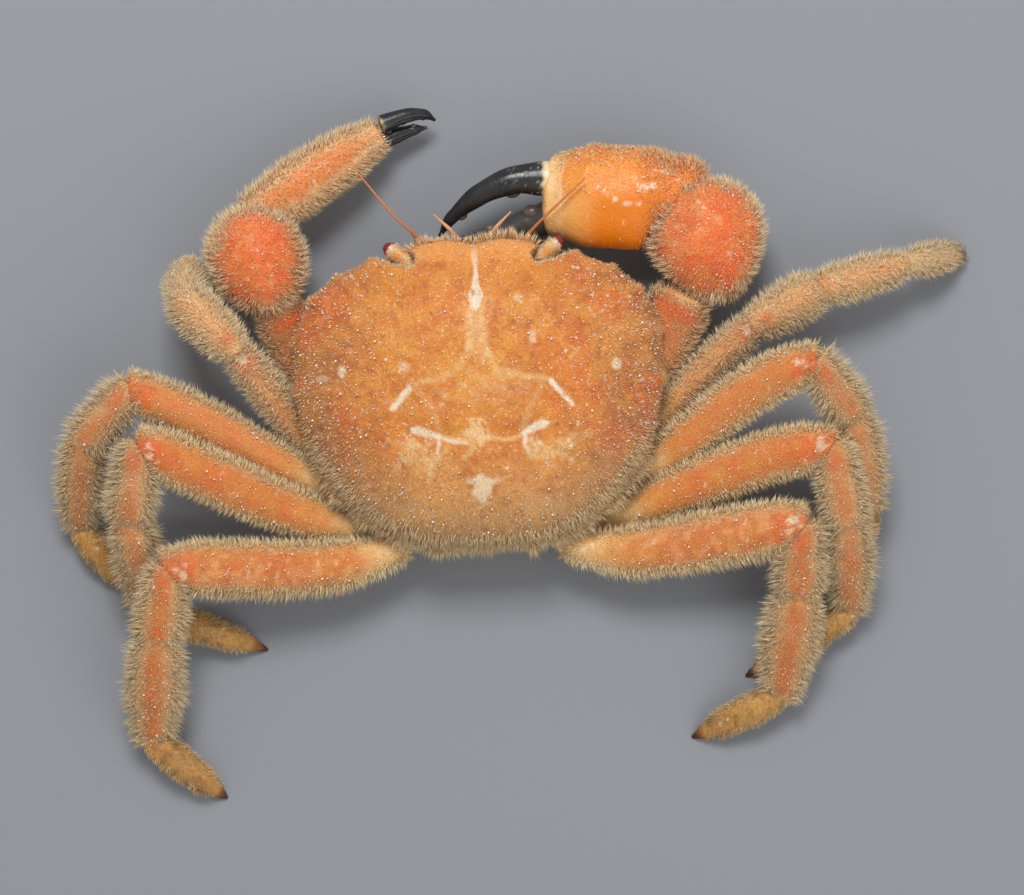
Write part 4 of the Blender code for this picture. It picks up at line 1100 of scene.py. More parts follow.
def carve_orbits(points):
    """Sinks the carapace's front into the two hollows in which the eyes lie."""
    depth = np.zeros(points.shape[:-1])
    for side in SIDES:
        start, end = (on_side(p, side) for p in ORBIT_ENDS)
        flat = (end - start) * LEVEL
        t = np.clip(dot(points - start, flat) / dot(flat, flat), 0, 1)
        axis = start + (end - start) * t[..., None]
        away = np.linalg.norm((points - axis)[..., :2], axis=-1)
        half_width = between(even_stops((1.1, 1.7, 1.9, 1.5)), t)
        half_height = between(even_stops((0.9, 1.25, 1.3, 1.0)), t)
        bottom = axis[..., 2] - half_height * np.sqrt(np.clip(1 - (away / half_width) ** 2, 0, 1))
        inside = away < half_width
        depth = np.maximum(depth, np.where(inside, points[..., 2] - bottom, 0))
    points[..., 2] -= np.maximum(depth, 0)
    return depth


def tooth_glow(turn):
    place = outline_place(turn)
    return bump(np.min([np.abs(place - tooth) for tooth in TOOTH_PLACES], axis=0), 0, 0.24)


CARAPACE_ROWS = 241
RIM_COLUMNS = 960


def build_carapace():
    """The carapace's top, on a square grid drawn out to the outline, and its edge below."""
    line = np.linspace(-1, 1, CARAPACE_ROWS)
    b, a = np.meshgrid(line, line, indexing="ij")
    share = np.maximum(np.abs(a), np.abs(b))
    safe = np.maximum(share, 1e-9)
    u, v = a / safe, b / safe
    turn = np.where(v <= -1 + 1e-9, u, np.where(u >= 1 - 1e-9, 2 + v, np.where(v >= 1 - 1e-9, 4 - u, 6 - v)))
    turn = (turn / 8) % 1.0
    edge = outline(turn.ravel()).reshape(*turn.shape, 3)
    height = dome_height(edge, share)
    points = np.stack([edge[..., 0] * share, edge[..., 1] * share, height], axis=-1)
    x, y = points[..., 0], points[..., 1]
    fade = 1 - share**8
    points[..., 2] += sum(swelling(x, y, *shape) for shape in FINE_REGIONS) * fade
    skin = Skin(points[:, ::-1].copy(), share[:, ::-1], turn[:, ::-1], wrap=False)
    level = skin.points * LEVEL
    rough = 0.05 * fractal(level, 0.9, 3, 61) + 0.05 * np.maximum(0, noise(level, 0.45, 64))
    skin.swell(rough * (1 - 0.7 * skin.share**8))
    depth = carve_orbits(skin.points)
    skin.settle()
    skin.hollow = smooth(0.05, 0.5, depth)
    # Painted highlight: the middle of the carapace's front is laid on paler, as the part most strongly lit.
    front = smooth(-15.0, -19.5, skin.points[..., 1]) * smooth(12.0, 8.0, np.abs(skin.points[..., 0]))
    skin.paint = layered(
        carapace_paint(skin.points),
        (YELLOW_ORANGE, 0.7 * smooth(0.965, 0.995, skin.share) * tooth_glow(skin.angle)),
        # painted highlight at the front
        (colour(255, 180, 96), 0.75 * smooth(0.8, 1.0, skin.share) * front),
        (mix(CREAM, YELLOW_ORANGE, 0.4), 0.8 * skin.hollow),
    )
    # Painted shade between the felt's bristles darkens the carapace's paint halfway.
    skin.depth = 0.5
    return skin, build_rim()


RIM_LEVELS = (
    (1.0, 0.0),
    (1.006, 0.12),
    (1.004, 0.3),
    (0.994, 0.5),
    (0.98, 0.7),
    (0.966, 0.85),
    (0.955, 1.0),
    (0.93, 1.0),
    (0.88, 0.9),
    (0.8, 0.8),
)


def build_rim():
    """The carapace's edge, turned under and down to the parting line."""
    turn = np.arange(RIM_COLUMNS) / RIM_COLUMNS
    edge = outline(turn)
    top = edge_height(edge)
    rows = []
    for wide, down in RIM_LEVELS:
        height = top + (PARTING_Z + 0.05 - top) * down
        rows.append(np.stack([edge[:, 0] * wide, edge[:, 1] * wide, height], axis=-1))
    points = np.array(rows)
    down = np.array([level[1] for level in RIM_LEVELS])[:, None]
    depth = carve_orbits(points)
    skin = Skin(points, down, turn[None])
    skin.paint = layered(
        carapace_paint(skin.points),
        (YELLOW_ORANGE, 0.7 * tooth_glow(skin.angle)),
        (mix(TAN, YELLOW_ORANGE, 0.4), 0.8 * smooth(0.05, 0.6, depth)),
        (BRIGHT_ORANGE, 0.5 * smooth(-13.0, -18.0, skin.points[..., 1])),
        (KHAKI, 0.8 * smooth(0.1, 0.6, skin.share) * smooth(-6.0, 4.0, skin.points[..., 1])),
    )
    return skin


# Underside, tail and mouth

BELLY_LEVELS = (
    (PARTING_Z - GAP, 0.90, 0.90, 0.0),
    (PARTING_Z - GAP, LOWER_EDGE_SHARE, LOWER_EDGE_SHARE, 0.0),
    (7.3, 0.86, 0.90, 0.3),
    (5.6, 0.69, 0.81, 0.9),
    (3.4, 0.57, 0.72, 1.5),
    (1.4, 0.50, 0.64, 2.0),
    (0.4, 0.45, 0.58, 2.4),
    (0.0, 0.40, 0.53, 2.6),
    (0.3, 0.30, 0.40, 2.6),
    (0.3, 0.20, 0.26, 2.6),
    (0.3, 0.08, 0.10, 2.6),
)
STERNITE_LINES = (-4.6, -0.6, 3.4, 7.2, 10.6)
BELLY_GRID = (80, 240)
TAIL_JOINTS = (0.13, 0.27, 0.41, 0.56, 0.72, 0.86)


def build_belly():
    """The lower shell from the parting line down to the belly, with the seams of its plates."""
    rows, columns = BELLY_GRID
    turn = np.arange(columns) / columns
    edge = outline(turn)
    place = np.linspace(0, len(BELLY_LEVELS) - 1, rows)
    marks = np.arange(len(BELLY_LEVELS))
    z, wide, long, back = (np.interp(place, marks, column) for column in zip(*BELLY_LEVELS))
    points = np.stack(
        [
            edge[None, :, 0] * wide[:, None],
            edge[None, :, 1] * long[:, None] + back[:, None],
            np.broadcast_to(z[:, None], (rows, columns)),
        ],
        axis=-1,
    )
    skin = Skin(points, (place / marks[-1])[:, None], turn[None])
    x, y = np.abs(skin.points[..., 0]), skin.points[..., 1]
    low = smooth(4.0, 1.5, skin.points[..., 2])
    seams = [bump(y - start - 0.32 * x, 0, 0.28) for start in STERNITE_LINES]
    seam = np.max(seams, axis=0) * smooth(2.2, 3.4, x) * low
    groove = bump(x - 2.9 - 0.16 * (y + 6.0), 0, 0.25) * smooth(-7.0, -5.0, y) * low
    rough = 0.05 * fractal(skin.points, 1.6, 3, 71) * smooth(0.2, 1.0, z)[:, None]
    skin.swell(-0.16 * seam - 0.12 * groove + rough)
    skin.paint = layered(
        mix(CREAM, YELLOW_ORANGE, 0.35 + 0.3 * fractal(skin.points, 3.0, 3, 72)),
        (TAN, 0.7 * np.maximum(seam, groove)),
        (TAN_ORANGE, smooth(4.0, 7.5, skin.points[..., 2]) * 0.8),
    )
    return skin


def limb_starts():
    """Each limb's number, side, root and direction there; the claws come last, as number 1."""
    for (number, side), (root, headings, pitches, _) in LEG_POSES.items():
        yield number, side, on_side(root, side), aim(headings[0], pitches[0], side)
    for side, claw in CLAWS.items():
        start, end = on_side(claw["arm_start"], side), on_side(claw["arm_end"], side)
        yield 1, side, start, unit(end - start)


def build_stubs():
    """The ten short first parts of the limbs, fixed to the underside."""
    made = []
    for number, side, root, along in limb_starts():
        inner = on_side(COXA_STARTS[number], side)
        end_normal = mitre(root - inner, along)
        width = 2.3 if number == 1 else 1.8
        tube = Tube(
            straight(inner, drawn_back(root, unit(root - inner), end_normal)),
            [(0, width * 1.15), (0.72, width * 1.0), (0.8, width * 0.93), (1, width)],
            [(0, width), (0.72, width * 0.84), (0.8, width * 0.76), (1, width * 0.8)],
            end_normal=end_normal,
        )
        skin = lofted(tube, 26, 28, 0.1, 0.3)
        skin.swell(0.04 * fractal(skin.points, 0.9, 3, 81))
        spots = smooth(0.0, 0.5, noise(skin.points, 1.4, 82))
        skin.paint = layered(
            mix(CREAM, YELLOW_ORANGE, 0.3 * spots),
            # White is the stubs' own colour, laid on more strongly as painted light to make up for the shade
            # that they lie in.
            (WHITE, 0.3 + 0.5 * smooth(0.2, 0.6, noise(skin.points, 0.8, 83))),
            (LEG_ORANGE, 0.25 * smooth(0.1, 0.7, -noise(skin.points, 2.0, 84))),
        )
        made.append(skin)
    return made


def build_tail():
    tube = Tube(
        curve(TAIL_PATH),
        even_stops(TAIL_HALF_WIDTHS),
        even_stops(TAIL_HALF_THICKNESSES),
        squareness=0.6,
    )
    skin = lofted(tube, 120, 40, 0.1, 0.4)
    seam = np.max([bump(skin.share, joint, 0.012) for joint in TAIL_JOINTS], axis=0)
    skin.swell(-0.14 * seam + 0.03 * fractal(skin.points, 1.2, 3, 91))
    skin.paint = mix(CREAM, YELLOW_ORANGE, 0.4 + 0.3 * fractal(skin.points, 2.2, 2, 92))
    skin.paint = mix(skin.paint, TAN, 0.6 * seam)
    return skin


def build_mouthpart(side):
    tube = Tube(
        curve([on_side(p, side) for p in MOUTHPART_PATH]),
        even_stops((2.0, 2.5, 2.6, 2.2)),
        even_stops((0.8, 0.9, 0.9, 0.7)),
        squareness=0.7,
    )
    skin = lofted(tube, 70, 36, 0.2, 0.25)
    seam = bump(skin.share, 0.53, 0.02)
    inner = bump(np.cos(skin.angle) * SIDES[side], -0.45, 0.1)
    furrows = 0.22 * seam + 0.1 * inner * smooth(0.5, 0.4, skin.share)
    skin.swell(-furrows + 0.03 * fractal(skin.points, 0.9, 3, 95))
    skin.paint = mix(CREAM, YELLOW_ORANGE, 0.55 + 0.35 * fractal(skin.points, 1.8, 2, 96))
    skin.paint = mix(skin.paint, BROWN_ORANGE, 0.5 * seam)
    return skin


# Eyes and feelers

EYE_ENDS = ((7.9, -17.7, 10.0), (11.7, -20.6, 10.7))


def build_eye(side):
    inner, outer = (on_side(p, side) for p in EYE_ENDS)
    tube = Tube(
        straight(inner, outer),
        [(0, 0.8), (0.45, 1.0), (0.65, 0.95), (0.85, 1.08), (0.95, 0.9), (1, 0.66)],
        [(0, 0.75), (0.45, 0.9), (0.65, 0.88), (0.85, 1.02), (0.95, 0.86), (1, 0.62)],
    )
    whole = lofted(tube, 60, 32, 0.3, 0.5, floor=False)
    cut = int(np.searchsorted(whole.share[:, 0], 0.86))
    stalk = Skin(whole.points[: cut + 1].copy(), whole.share[: cut + 1], whole.angle[: cut + 1])
    cornea = Skin(whole.points[cut - 1 :].copy(), whole.share[cut - 1 :], whole.angle[cut - 1 :])
    stalk.swell(0.03 * fractal(stalk.points, 0.5, 3, 101))
    stalk.paint = mix(CREAM, TAN, 0.5 + 0.4 * fractal(stalk.points, 0.8, 2, 102))
    ember = smooth(0.35, 0.45, stalk.share) * smooth(0.74, 0.62, stalk.share)
    ember = ember * smooth(-0.4, 0.2, noise(stalk.points, 0.8, 103))
    stalk.paint = mix(stalk.paint, BRIGHT_ORANGE, 0.8 * ember)
    rim = smooth(0.9, 0.86, cornea.share)
    # Deep red at the cornea's rim, and darker as painted shade where it faces down.
    cornea.paint = mix(CRIMSON, DARK_RED, np.maximum(rim, smooth(0.6, -0.4, cornea.normals[..., 2])))
    lobe = smooth(0.96, 0.91, cornea.share) * smooth(0.4, 0.85, cornea.normals[..., 2])
    cornea.paint = mix(cornea.paint, mix(WHITE, TAN, 0.6), 0.8 * lobe)
    return stalk, cornea


def build_feeler(kind, side):
    """A feeler: its stout joints at the base, and the thin ringed whip beyond them."""
    stops = even_stops(FEELER_HALF_WIDTHS[kind])
    tube = Tube(curve([on_side(p, side) for p in FEELER_PATHS[(kind, side)]]), stops, stops)
    skin = lofted(tube, 200, 12, 0.2, 0.6, floor=False)
    thin = smooth(0.42, 0.52, skin.share)
    notch = np.abs(np.sin(math.pi * FEELER_RINGS[kind] * skin.share)) ** 0.5
    basal = np.max([bump(skin.share, joint, 0.012) for joint in (0.2, 0.34, 0.45)], axis=0)
    slim = FEELER_SLIMMING[kind] * smooth(0.35, 0.6, skin.share)
    skin.swell(-slim - 0.03 * thin * (1 - notch) - 0.1 * basal)
    skin.paint = mix(mix(FEELER, CREAM, 0.25), BROWN_ORANGE, 0.4 * thin * (1 - notch) + 0.5 * thin)
    skin.paint = mix(skin.paint, BRIGHT_ORANGE, 0.45 * (1 - thin))
    if kind == "antennule":
        skin.paint = mix(skin.paint, mix(SPECK_PINK, TAN, 0.5), 0.45)
    return skin


# Walking legs


def leg_joints(number, side):
    root, headings, pitches, _ = LEG_POSES[(number, side)]
    joints = [on_side(root, side)]
    lengths = LEG_LENGTHS[number]
    for length, heading, pitch in zip(lengths, headings, pitches):
        joints.append(joints[-1] + aim(heading, pitch, side) * length)
    tip_height = TIP_HALF_WIDTH * THICKNESS_SHARES[3] * 0.6
    drop = math.degrees(math.asin((tip_height - joints[-1][2]) / lengths[3]))
    joints.append(joints[-1] + aim(headings[3], drop, side) * lengths[3])
    return joints


def leg_tubes(number, side):
    joints = leg_joints(number, side)
    inner = on_side(COXA_STARTS[number], side)
    aims = [unit(b - a) for a, b in zip([inner, *joints], joints)]
    tubes = {}
    for i, article in enumerate(LEG_ARTICLES):
        last = article == "dactylus"
        start_normal = mitre(aims[i], aims[i + 1])
        end_normal = None if last else mitre(aims[i + 1], aims[i + 2])
        start = drawn_back(joints[i], -aims[i + 1], start_normal)
        end = joints[i + 1] if last else drawn_back(joints[i + 1], aims[i + 1], end_normal)
        bows = LEG_POSES[(number, side)][3] if article == "merus" else (0.0, 0.0)
        sag = {"merus": MERUS_SAG, "dactylus": DACTYLUS_ARCH}.get(article, 0.0)
        width = LEG_HALF_WIDTHS[number][i]
        widths = [(share, value * width) for share, value in PROFILES[article]]
        thicknesses = [(share, value * THICKNESS_SHARES[i]) for share, value in widths]
        tubes[article] = Tube(straight(start, end, bows, sag), widths, thicknesses, start_normal, end_normal)
    return tubes


ARTICLE_ROWS = {"merus": 90, "carpus": 44, "propodus": 50, "dactylus": 54}
# How far across each article, as a share of its half width, its fringe begins and is full.
FRINGE_ZONES = {"merus": (0.5, 1.0), "carpus": (0.1, 0.72), "propodus": (0.12, 0.7), "dactylus": (0.6, 0.9)}


def leg_band(points, number, article, c, patchy, fine):
    """The orange band along the top of the three upper articles."""
    band = mix(LEG_ORANGE, RED_ORANGE, 0.35 * smooth(0.0, 0.6, patchy) + 0.25 * smooth(0.1, 0.5, fine))
    band = mix(band, YELLOW_ORANGE, 0.4 * smooth(0.0, 0.6, -patchy))
    if number == 2:
        return mix(band, mix(TAN, PINK_BRISTLE, 0.6), 0.65 if article == "merus" else 0.75)
    if article != "merus":
        return layered(
            band,
            (BROWN_ORANGE, 0.4),
            (RED_ORANGE, 0.5 * smooth(0.1, 0.5, noise(points, 1.1, 118))),
            (TAN, np.clip((0.25 if number < 5 else 0.0) + 0.35 * patchy, 0, 1)),
        )
    if number == 5:
        band = mix(band, BROWN_ORANGE, 0.2)
        return mix(band, PINK_BRISTLE, 0.45 * smooth(0.0, 0.5, noise(points, 0.8, 114) - 0.3 * c))
    # The third legs' band is lightened towards pink as painted light, to make up for the shade that falls on
    # it.
    return mix(band, PINK_BRISTLE, 0.2) if number == 3 else band


def merus_marks(paint, points, share, c, top, patchy, fine):
    """The pale root of the merus, and the red patch and white ray before its far joint."""
    base = smooth(0.27, 0.08, share + 0.06 * patchy)
    ember = smooth(0.87, 0.92, share + 0.02 * fine) * smooth(0.75, 0.5, np.abs(c) + 0.2 * fine)
    ray = 0.6 * np.abs(np.abs(c + 0.1) - 0.2) + 6.0 * np.abs(share - 0.965) + 0.3 * fine + 0.15 * patchy
    return layered(
        paint,
        (YELLOW_ORANGE, 0.4 * smooth(0.5, 0.15, share + 0.1 * patchy)),
        (mix(CREAM, YELLOW_ORANGE, 0.2 + 0.4 * fine), 0.95 * base),
        (WHITE, 0.6 * base * speckle(points, 0.9, 0.4, 119)),
        (RED_ORANGE, 0.6 * ember * top),
        (WHITE, 0.8 * smooth(0.15, 0.05, ray) * top),
    )


def carpus_marks(paint, share, c, top, fine):
    ember = smooth(0.03, 0.09, share) * smooth(0.34, 0.16, share) * smooth(0.6, 0.35, np.abs(c - 0.2))
    return layered(
        paint,
        (KHAKI, 0.5 * smooth(0.1, 0.02, share + 0.03 * fine) * top),
        (RED_ORANGE, 0.5 * ember * top),
        (mix(CREAM, TAN, 0.4), 0.4 * smooth(0.9, 0.98, share + 0.03 * fine)),
    )


def propodus_marks(paint, points, share, fine):
    spots = smooth(0.3, 0.5, noise(points, 1.3, 115)) * smooth(0.16, 0.04, share)
    return layered(
        paint,
        (mix(CREAM, TAN, 0.4), 0.45 * smooth(0.08, 0.02, share + 0.03 * fine)),
        (BRIGHT_ORANGE, 0.7 * spots),
        (mix(CREAM, KHAKI, 0.5), 0.6 * smooth(0.9, 0.99, share)),
    )


def foot_paint(points, number, share, c, edge, below, patchy, fine):
    """The last article, ochre with streaks and a dark tip, or tan on the hairy second leg."""
    paint = layered(
        mix(OCHRE, YELLOW_ORANGE, 0.3 + 0.3 * patchy),
        (KHAKI, 0.45 * edge + 0.25 * below),
        (BROWN_ORANGE, 0.4 * smooth(0.0, 0.6, fine) * smooth(0.8, 0.3, np.abs(c))),
    )
    if number == 2:
        paint = mix(paint, COOL_TAN, 0.75)
        return mix(paint, colour(108, 94, 80), smooth(0.78, 0.9, share + 0.02 * fine))
    return layered(
        paint,
        (colour(136, 96, 46), 0.6 * smooth(0.2, 0.5, noise(points * (1, 1, 0.3), 0.9, 117))),
        (colour(128, 80, 40), smooth(0.82, 0.92, share + 0.03 * fine)),
        (TIP_BROWN, smooth(0.9, 0.97, share + 0.02 * fine)),
    )


def leg_paint(skin, number, article):
    """The leg's orange band above, its khaki edges, and the pale marks at its joints."""
    share, c, s = skin.round()
    points = skin.points
    patchy, fine = fractal(points, 2.4, 3, 111), fractal(points, 0.7, 2, 112)
    edge = smooth(*FRINGE_ZONES[article], np.abs(c) + 0.16 * patchy + 0.14 * fine)
    below = smooth(0.1, -0.4, s)
    top = smooth(0.2, 0.6, s)
    if article == "dactylus":
        paint = foot_paint(points, number, share, c, edge, below, patchy, fine)
    else:
        paint = layered(
            leg_band(points, number, article, c, patchy, fine),
            (KHAKI, 0.85 * edge),
            (mix(CREAM, TAN_ORANGE, 0.35), 0.7 * below),
        )
    if article == "merus":
        paint = merus_marks(paint, points, share, c, top, patchy, fine)
    elif article == "carpus":
        paint = carpus_marks(paint, share, c, top, fine)
    elif article == "propodus":
        paint = propodus_marks(paint, points, share, fine)
    return mix(paint, SPECK, 0.6 * speckle(points, 0.95, 0.14 * top + 0.02, 120 + number))


def build_leg(number, side):
    skins = {}
    for article, tube in leg_tubes(number, side).items():
        last = article == "dactylus"
        skin = lofted(tube, ARTICLE_ROWS[article], 36, 0.28, 0.6 if last else 0.25)
        _, c, s = skin.round()
        bumps = 0.05 * fractal(skin.points, 1.3, 3, 130 + number)
        if last:
            furrow = bump(c, 0, 0.28) + bump(np.abs(c), 0.86, 0.12)
            bumps = bumps * 0.4 - 0.1 * furrow * smooth(0.05, 0.2, skin.share) * smooth(0.9, 0.7, skin.share)
        else:
            lip = bump(skin.share, 0.985, 0.02) - 0.8 * bump(skin.share, 0.945, 0.02)
            bumps = bumps + 0.05 * lip + 0.12 * bump(c, 0, 0.5) * np.maximum(s, 0) * (skin.share < 0.95)
        skin.swell(bumps)
        skin.paint = leg_paint(skin, number, article)
        # Painted shade between the bristles: strong on the upper articles, light on the dactylus, and fading
        # out at the root of the merus.
        skin.depth = 0.25 if last else 0.8
        if article == "merus":
            skin.depth = 0.8 * smooth(0.0, 0.3, skin.share)
        skins[article] = skin
    return skins


def sideways(skin):
    """The level direction away from the middle line of a tube's shell."""
    middle = skin.points.mean(axis=1, keepdims=True)
    return unit((skin.points - middle) * np.array((1, 1, 0.2)))


def inner_part(share):
    """1 on an article away from its two ends, at which its coat stops."""
    return smooth(-0.02, 0.02, share) * smooth(1.01, 0.99, share)


def foot_coat(grow, skin, shaggy):
    """The short coat of the last article, which leaves its tip bare."""
    share, c, s = skin.round()
    inside = inner_part(share) * (smooth(1.0, 0.93, share) if shaggy else smooth(0.9, 0.7, share))
    edge = smooth(0.4, 0.95, np.abs(c))
    length = (0.8 + 0.7 * edge) * (1.0 if shaggy else 0.62)
    density = inside * (13 + 8 * edge) * (1 - 0.5 * smooth(0.0, -0.5, s)) * smooth(1.0, 0.85, share)
    tips = mix(skin.paint, PALE_BRISTLE, (0.35 if shaggy else 0.2) * smooth(0.85, 0.7, share))
    lie = sideways(skin) + skin.lie
    grow(density, length, (30, 55), skin.paint, tips, 0.046, lie=lie, tuft=0.5)


# The longest bristles of each leg's fringe, and the most that they may be on its merus.
FRINGE_LENGTHS = {2: 1.6, 3: 2.2, 4: 2.2, 5: 2.0}
MERUS_FRINGE = 1.4


def leg_coat(coat, skin, tile_number, number, side, article):
    """Short velvet on top of the article, and a dense fringe that stands out along both edges."""
    grow = coat.on(skin, tile_number)
    shaggy = number == 2
    if article == "dactylus":
        foot_coat(grow, skin, shaggy)
        return
    share, c, s = skin.round()
    inside = inner_part(share)
    rear = c * (1 if side == "right" else -1)
    below = smooth(0.0, -0.5, s)
    paint = skin.paint
    outward = sideways(skin)
    distal = article != "merus"
    fringe = FRINGE_LENGTHS[number] if distal else min(FRINGE_LENGTHS[number], MERUS_FRINGE)
    ragged = 0.12 * noise(skin.points, 1.2, 142) + 0.16 * noise(skin.points, 0.5, 143)
    edge = smooth(*FRINGE_ZONES[article], np.abs(c) + ragged)
    length = 0.55 + (fringe - 0.55) * smooth(0.5, 0.95, np.abs(c))
    length = length * (1 + 0.15 * noise(skin.points, 2.0, 141))
    if number == 5 and article == "merus":
        length = length * (1 + 0.3 * smooth(0.2, 0.8, rear))
    khaki = mix(COOL_TAN, PALE_BRISTLE, 0.15) if shaggy or distal else mix(KHAKI, PALE_BRISTLE, 0.2)
    if not distal:
        khaki = mix(khaki, PALE_BRISTLE, 0.4 * smooth(0.3, 0.1, share))
    inner = smooth(1.0, 0.4, np.abs(c))
    roots = mix(khaki, paint, 0.25 + 0.45 * inner)
    tips = mix(mix(khaki, PALE_BRISTLE, 0.45), paint, 0.45 * inner)
    weight = inside * edge * (1 - 0.65 * below)
    lie = outward + 0.6 * skin.lie
    grow(9 * weight, length, (8, 30), roots, tips, 0.052, lie=lie, tuft=0.75)
    grow(14 * weight, 0.8 * length, (10, 30), roots, tips, 0.048, 1, lie=lie, tuft=0.6)
    grow(12 * weight, 0.5 * length, (14, 34), roots, mix(khaki, tips, 0.5), 0.05, 1, lie=lie, tuft=0.3)
    if shaggy:
        tips = mix(paint, PALE_BRISTLE, 0.8)
        density = inside * (1 - 0.75 * edge) * (1 - 0.7 * below) * 12
        roots = mix(paint, COOL_TAN, 0.3)
        grow(density, 1.0, (30, 55), roots, tips, 0.05, clump=0.4, lie=lie, tuft=0.5)
    tips = mix(mix(paint, PINK_BRISTLE, 0.35), PALE_BRISTLE, 0.2)
    if distal:
        tips = mix(tips, mix(khaki, PALE_BRISTLE, 0.4), 0.25)
    density = inside * (1 - 0.75 * edge) * (1 - 0.75 * below) * 20
    length = (0.6 if distal else 0.42) * (0.8 + 0.5 * np.abs(c))
    lie = skin.lie + 0.4 * outward
    grow(density, length, (18, 44), paint, tips, 0.048, 1, clump=0.4, lie=lie, frost=0.25)
    cuff = 15 * smooth(-0.5, 0.0, s)
    length = 0.7 + 0.6 * smooth(0.3, 0.8, np.abs(c))
    roots = mix(paint, khaki, 0.2 + 0.5 * smooth(0.3, 0.7, np.abs(c)))
    for ends, lie in ((smooth(0.92, 0.98, share), skin.lie), (smooth(0.08, 0.02, share), -skin.lie)):
        grow(cuff * ends, length, (25, 55), roots, mix(roots, tips, 0.6), 0.052, 1, lie=lie)
    silt(coat, skin, tile_number, inside * smooth(0.0, 0.5, s))


def silt(coat, skin, tile_number, density):
    """Pale granules that show through the velvet, in three sizes."""
    for size, amount in ((0.055, 0.7), (0.09, 0.3), (0.14, 0.05)):
        coat.strew(skin, tile_number, amount * density, 0.3, size, SPECK)


# Claws


def ellipsoid_skin(centre, axes, heading, rows=70, columns=80, taper=0.0):
    """An ellipsoid with its long axis level at this heading, in radians, narrower at its start."""
    along = np.array((math.cos(heading), math.sin(heading), 0.0))
    across = np.array((-along[1], along[0], 0.0))
    slope = np.linspace(0.02, math.pi - 0.02, rows)[:, None]
    turn = np.linspace(0, math.tau, columns, endpoint=False)[::-1][None]
    girth = axes[0] * np.sin(slope) * (1 - taper * np.cos(slope))
    points = (
        centre
        - along * (axes[1] * np.cos(slope))[..., None]
        + across * (girth * np.cos(turn))[..., None]
        + UP * (axes[2] * np.sin(slope) * np.sin(turn))[..., None]
    )
    return Skin(points, slope / math.pi, turn)


def claw_frame(side):
    """A claw's points and joint planes, as in the solids."""
    claw = CLAWS[side]
    at = {key: on_side(claw[key], side) for key in ("arm_start", "arm_end", "hand_start", "hand_end")}
    at["wrist"] = on_side(claw["wrist_centre"], side)
    at["inner"] = on_side(COXA_STARTS[1], side)
    at["arm_aim"] = unit(at["arm_end"] - at["arm_start"])
    at["hand_aim"] = unit(at["hand_end"] - at["hand_start"])
    at["elbow_normal"] = mitre(at["arm_aim"], at["wrist"] - at["arm_end"])
    at["wrist_normal"] = mitre(at["hand_start"] - at["wrist"], at["hand_aim"])
    at["root_normal"] = mitre(at["arm_start"] - at["inner"], at["arm_aim"])
    return at


def build_arm(side, at):
    half = CLAWS[side]["arm_half_width"]
    start = drawn_back(at["arm_start"], -at["arm_aim"], at["root_normal"])
    end = drawn_back(at["arm_end"], at["arm_aim"], at["elbow_normal"])
    tube = Tube(
        straight(start, end, sag=-0.9),
        [(0, half * 0.76), (0.5, half), (0.85, half * 0.98), (1, half * 0.82)],
        [(0, half * 0.62), (0.5, half * 0.72), (0.85, half * 0.76), (1, half * 0.68)],
        at["root_normal"],
        at["elbow_normal"],
    )
    skin = lofted(tube, 60, 48, 0.25, 0.25)
    skin.swell(0.07 * fractal(skin.points, 1.5, 3, 151))
    share, c, s = skin.round()
    patchy, fine = fractal(skin.points, 2.2, 3, 152), fractal(skin.points, 0.7, 2, 153)
    paint = mix(LEG_ORANGE, RED_ORANGE, 0.4 + 0.4 * patchy)
    paint = mix(paint, TAN, 0.3 + 0.25 * smooth(0.5, 0.9, np.abs(c)))
    paint = mix(paint, CREAM, 0.6 * smooth(0.0, -0.6, s))
    ember = smooth(0.8, 0.86, share) * smooth(0.96, 0.92, share) * smooth(0.1, 0.6, s)
    paint = mix(paint, RED_ORANGE, 0.8 * ember * smooth(-0.2, 0.3, patchy + 0.3))
    cream = smooth(0.945, 0.98, share + 0.03 * fine) * smooth(0.1, 0.6, s - 0.3 * np.abs(c) + 0.2 * patchy)
    cream = cream * smooth(-0.5, 0.1, patchy + 0.5 * c)
    paint = mix(paint, mix(CREAM, TAN, 0.3), 0.7 * cream)
    # Painted shade between the arm's bristles.
    skin.depth = 0.7
    skin.paint = mix(paint, SPECK, 0.6 * speckle(skin.points, 0.95, 0.14, 154))
    return skin


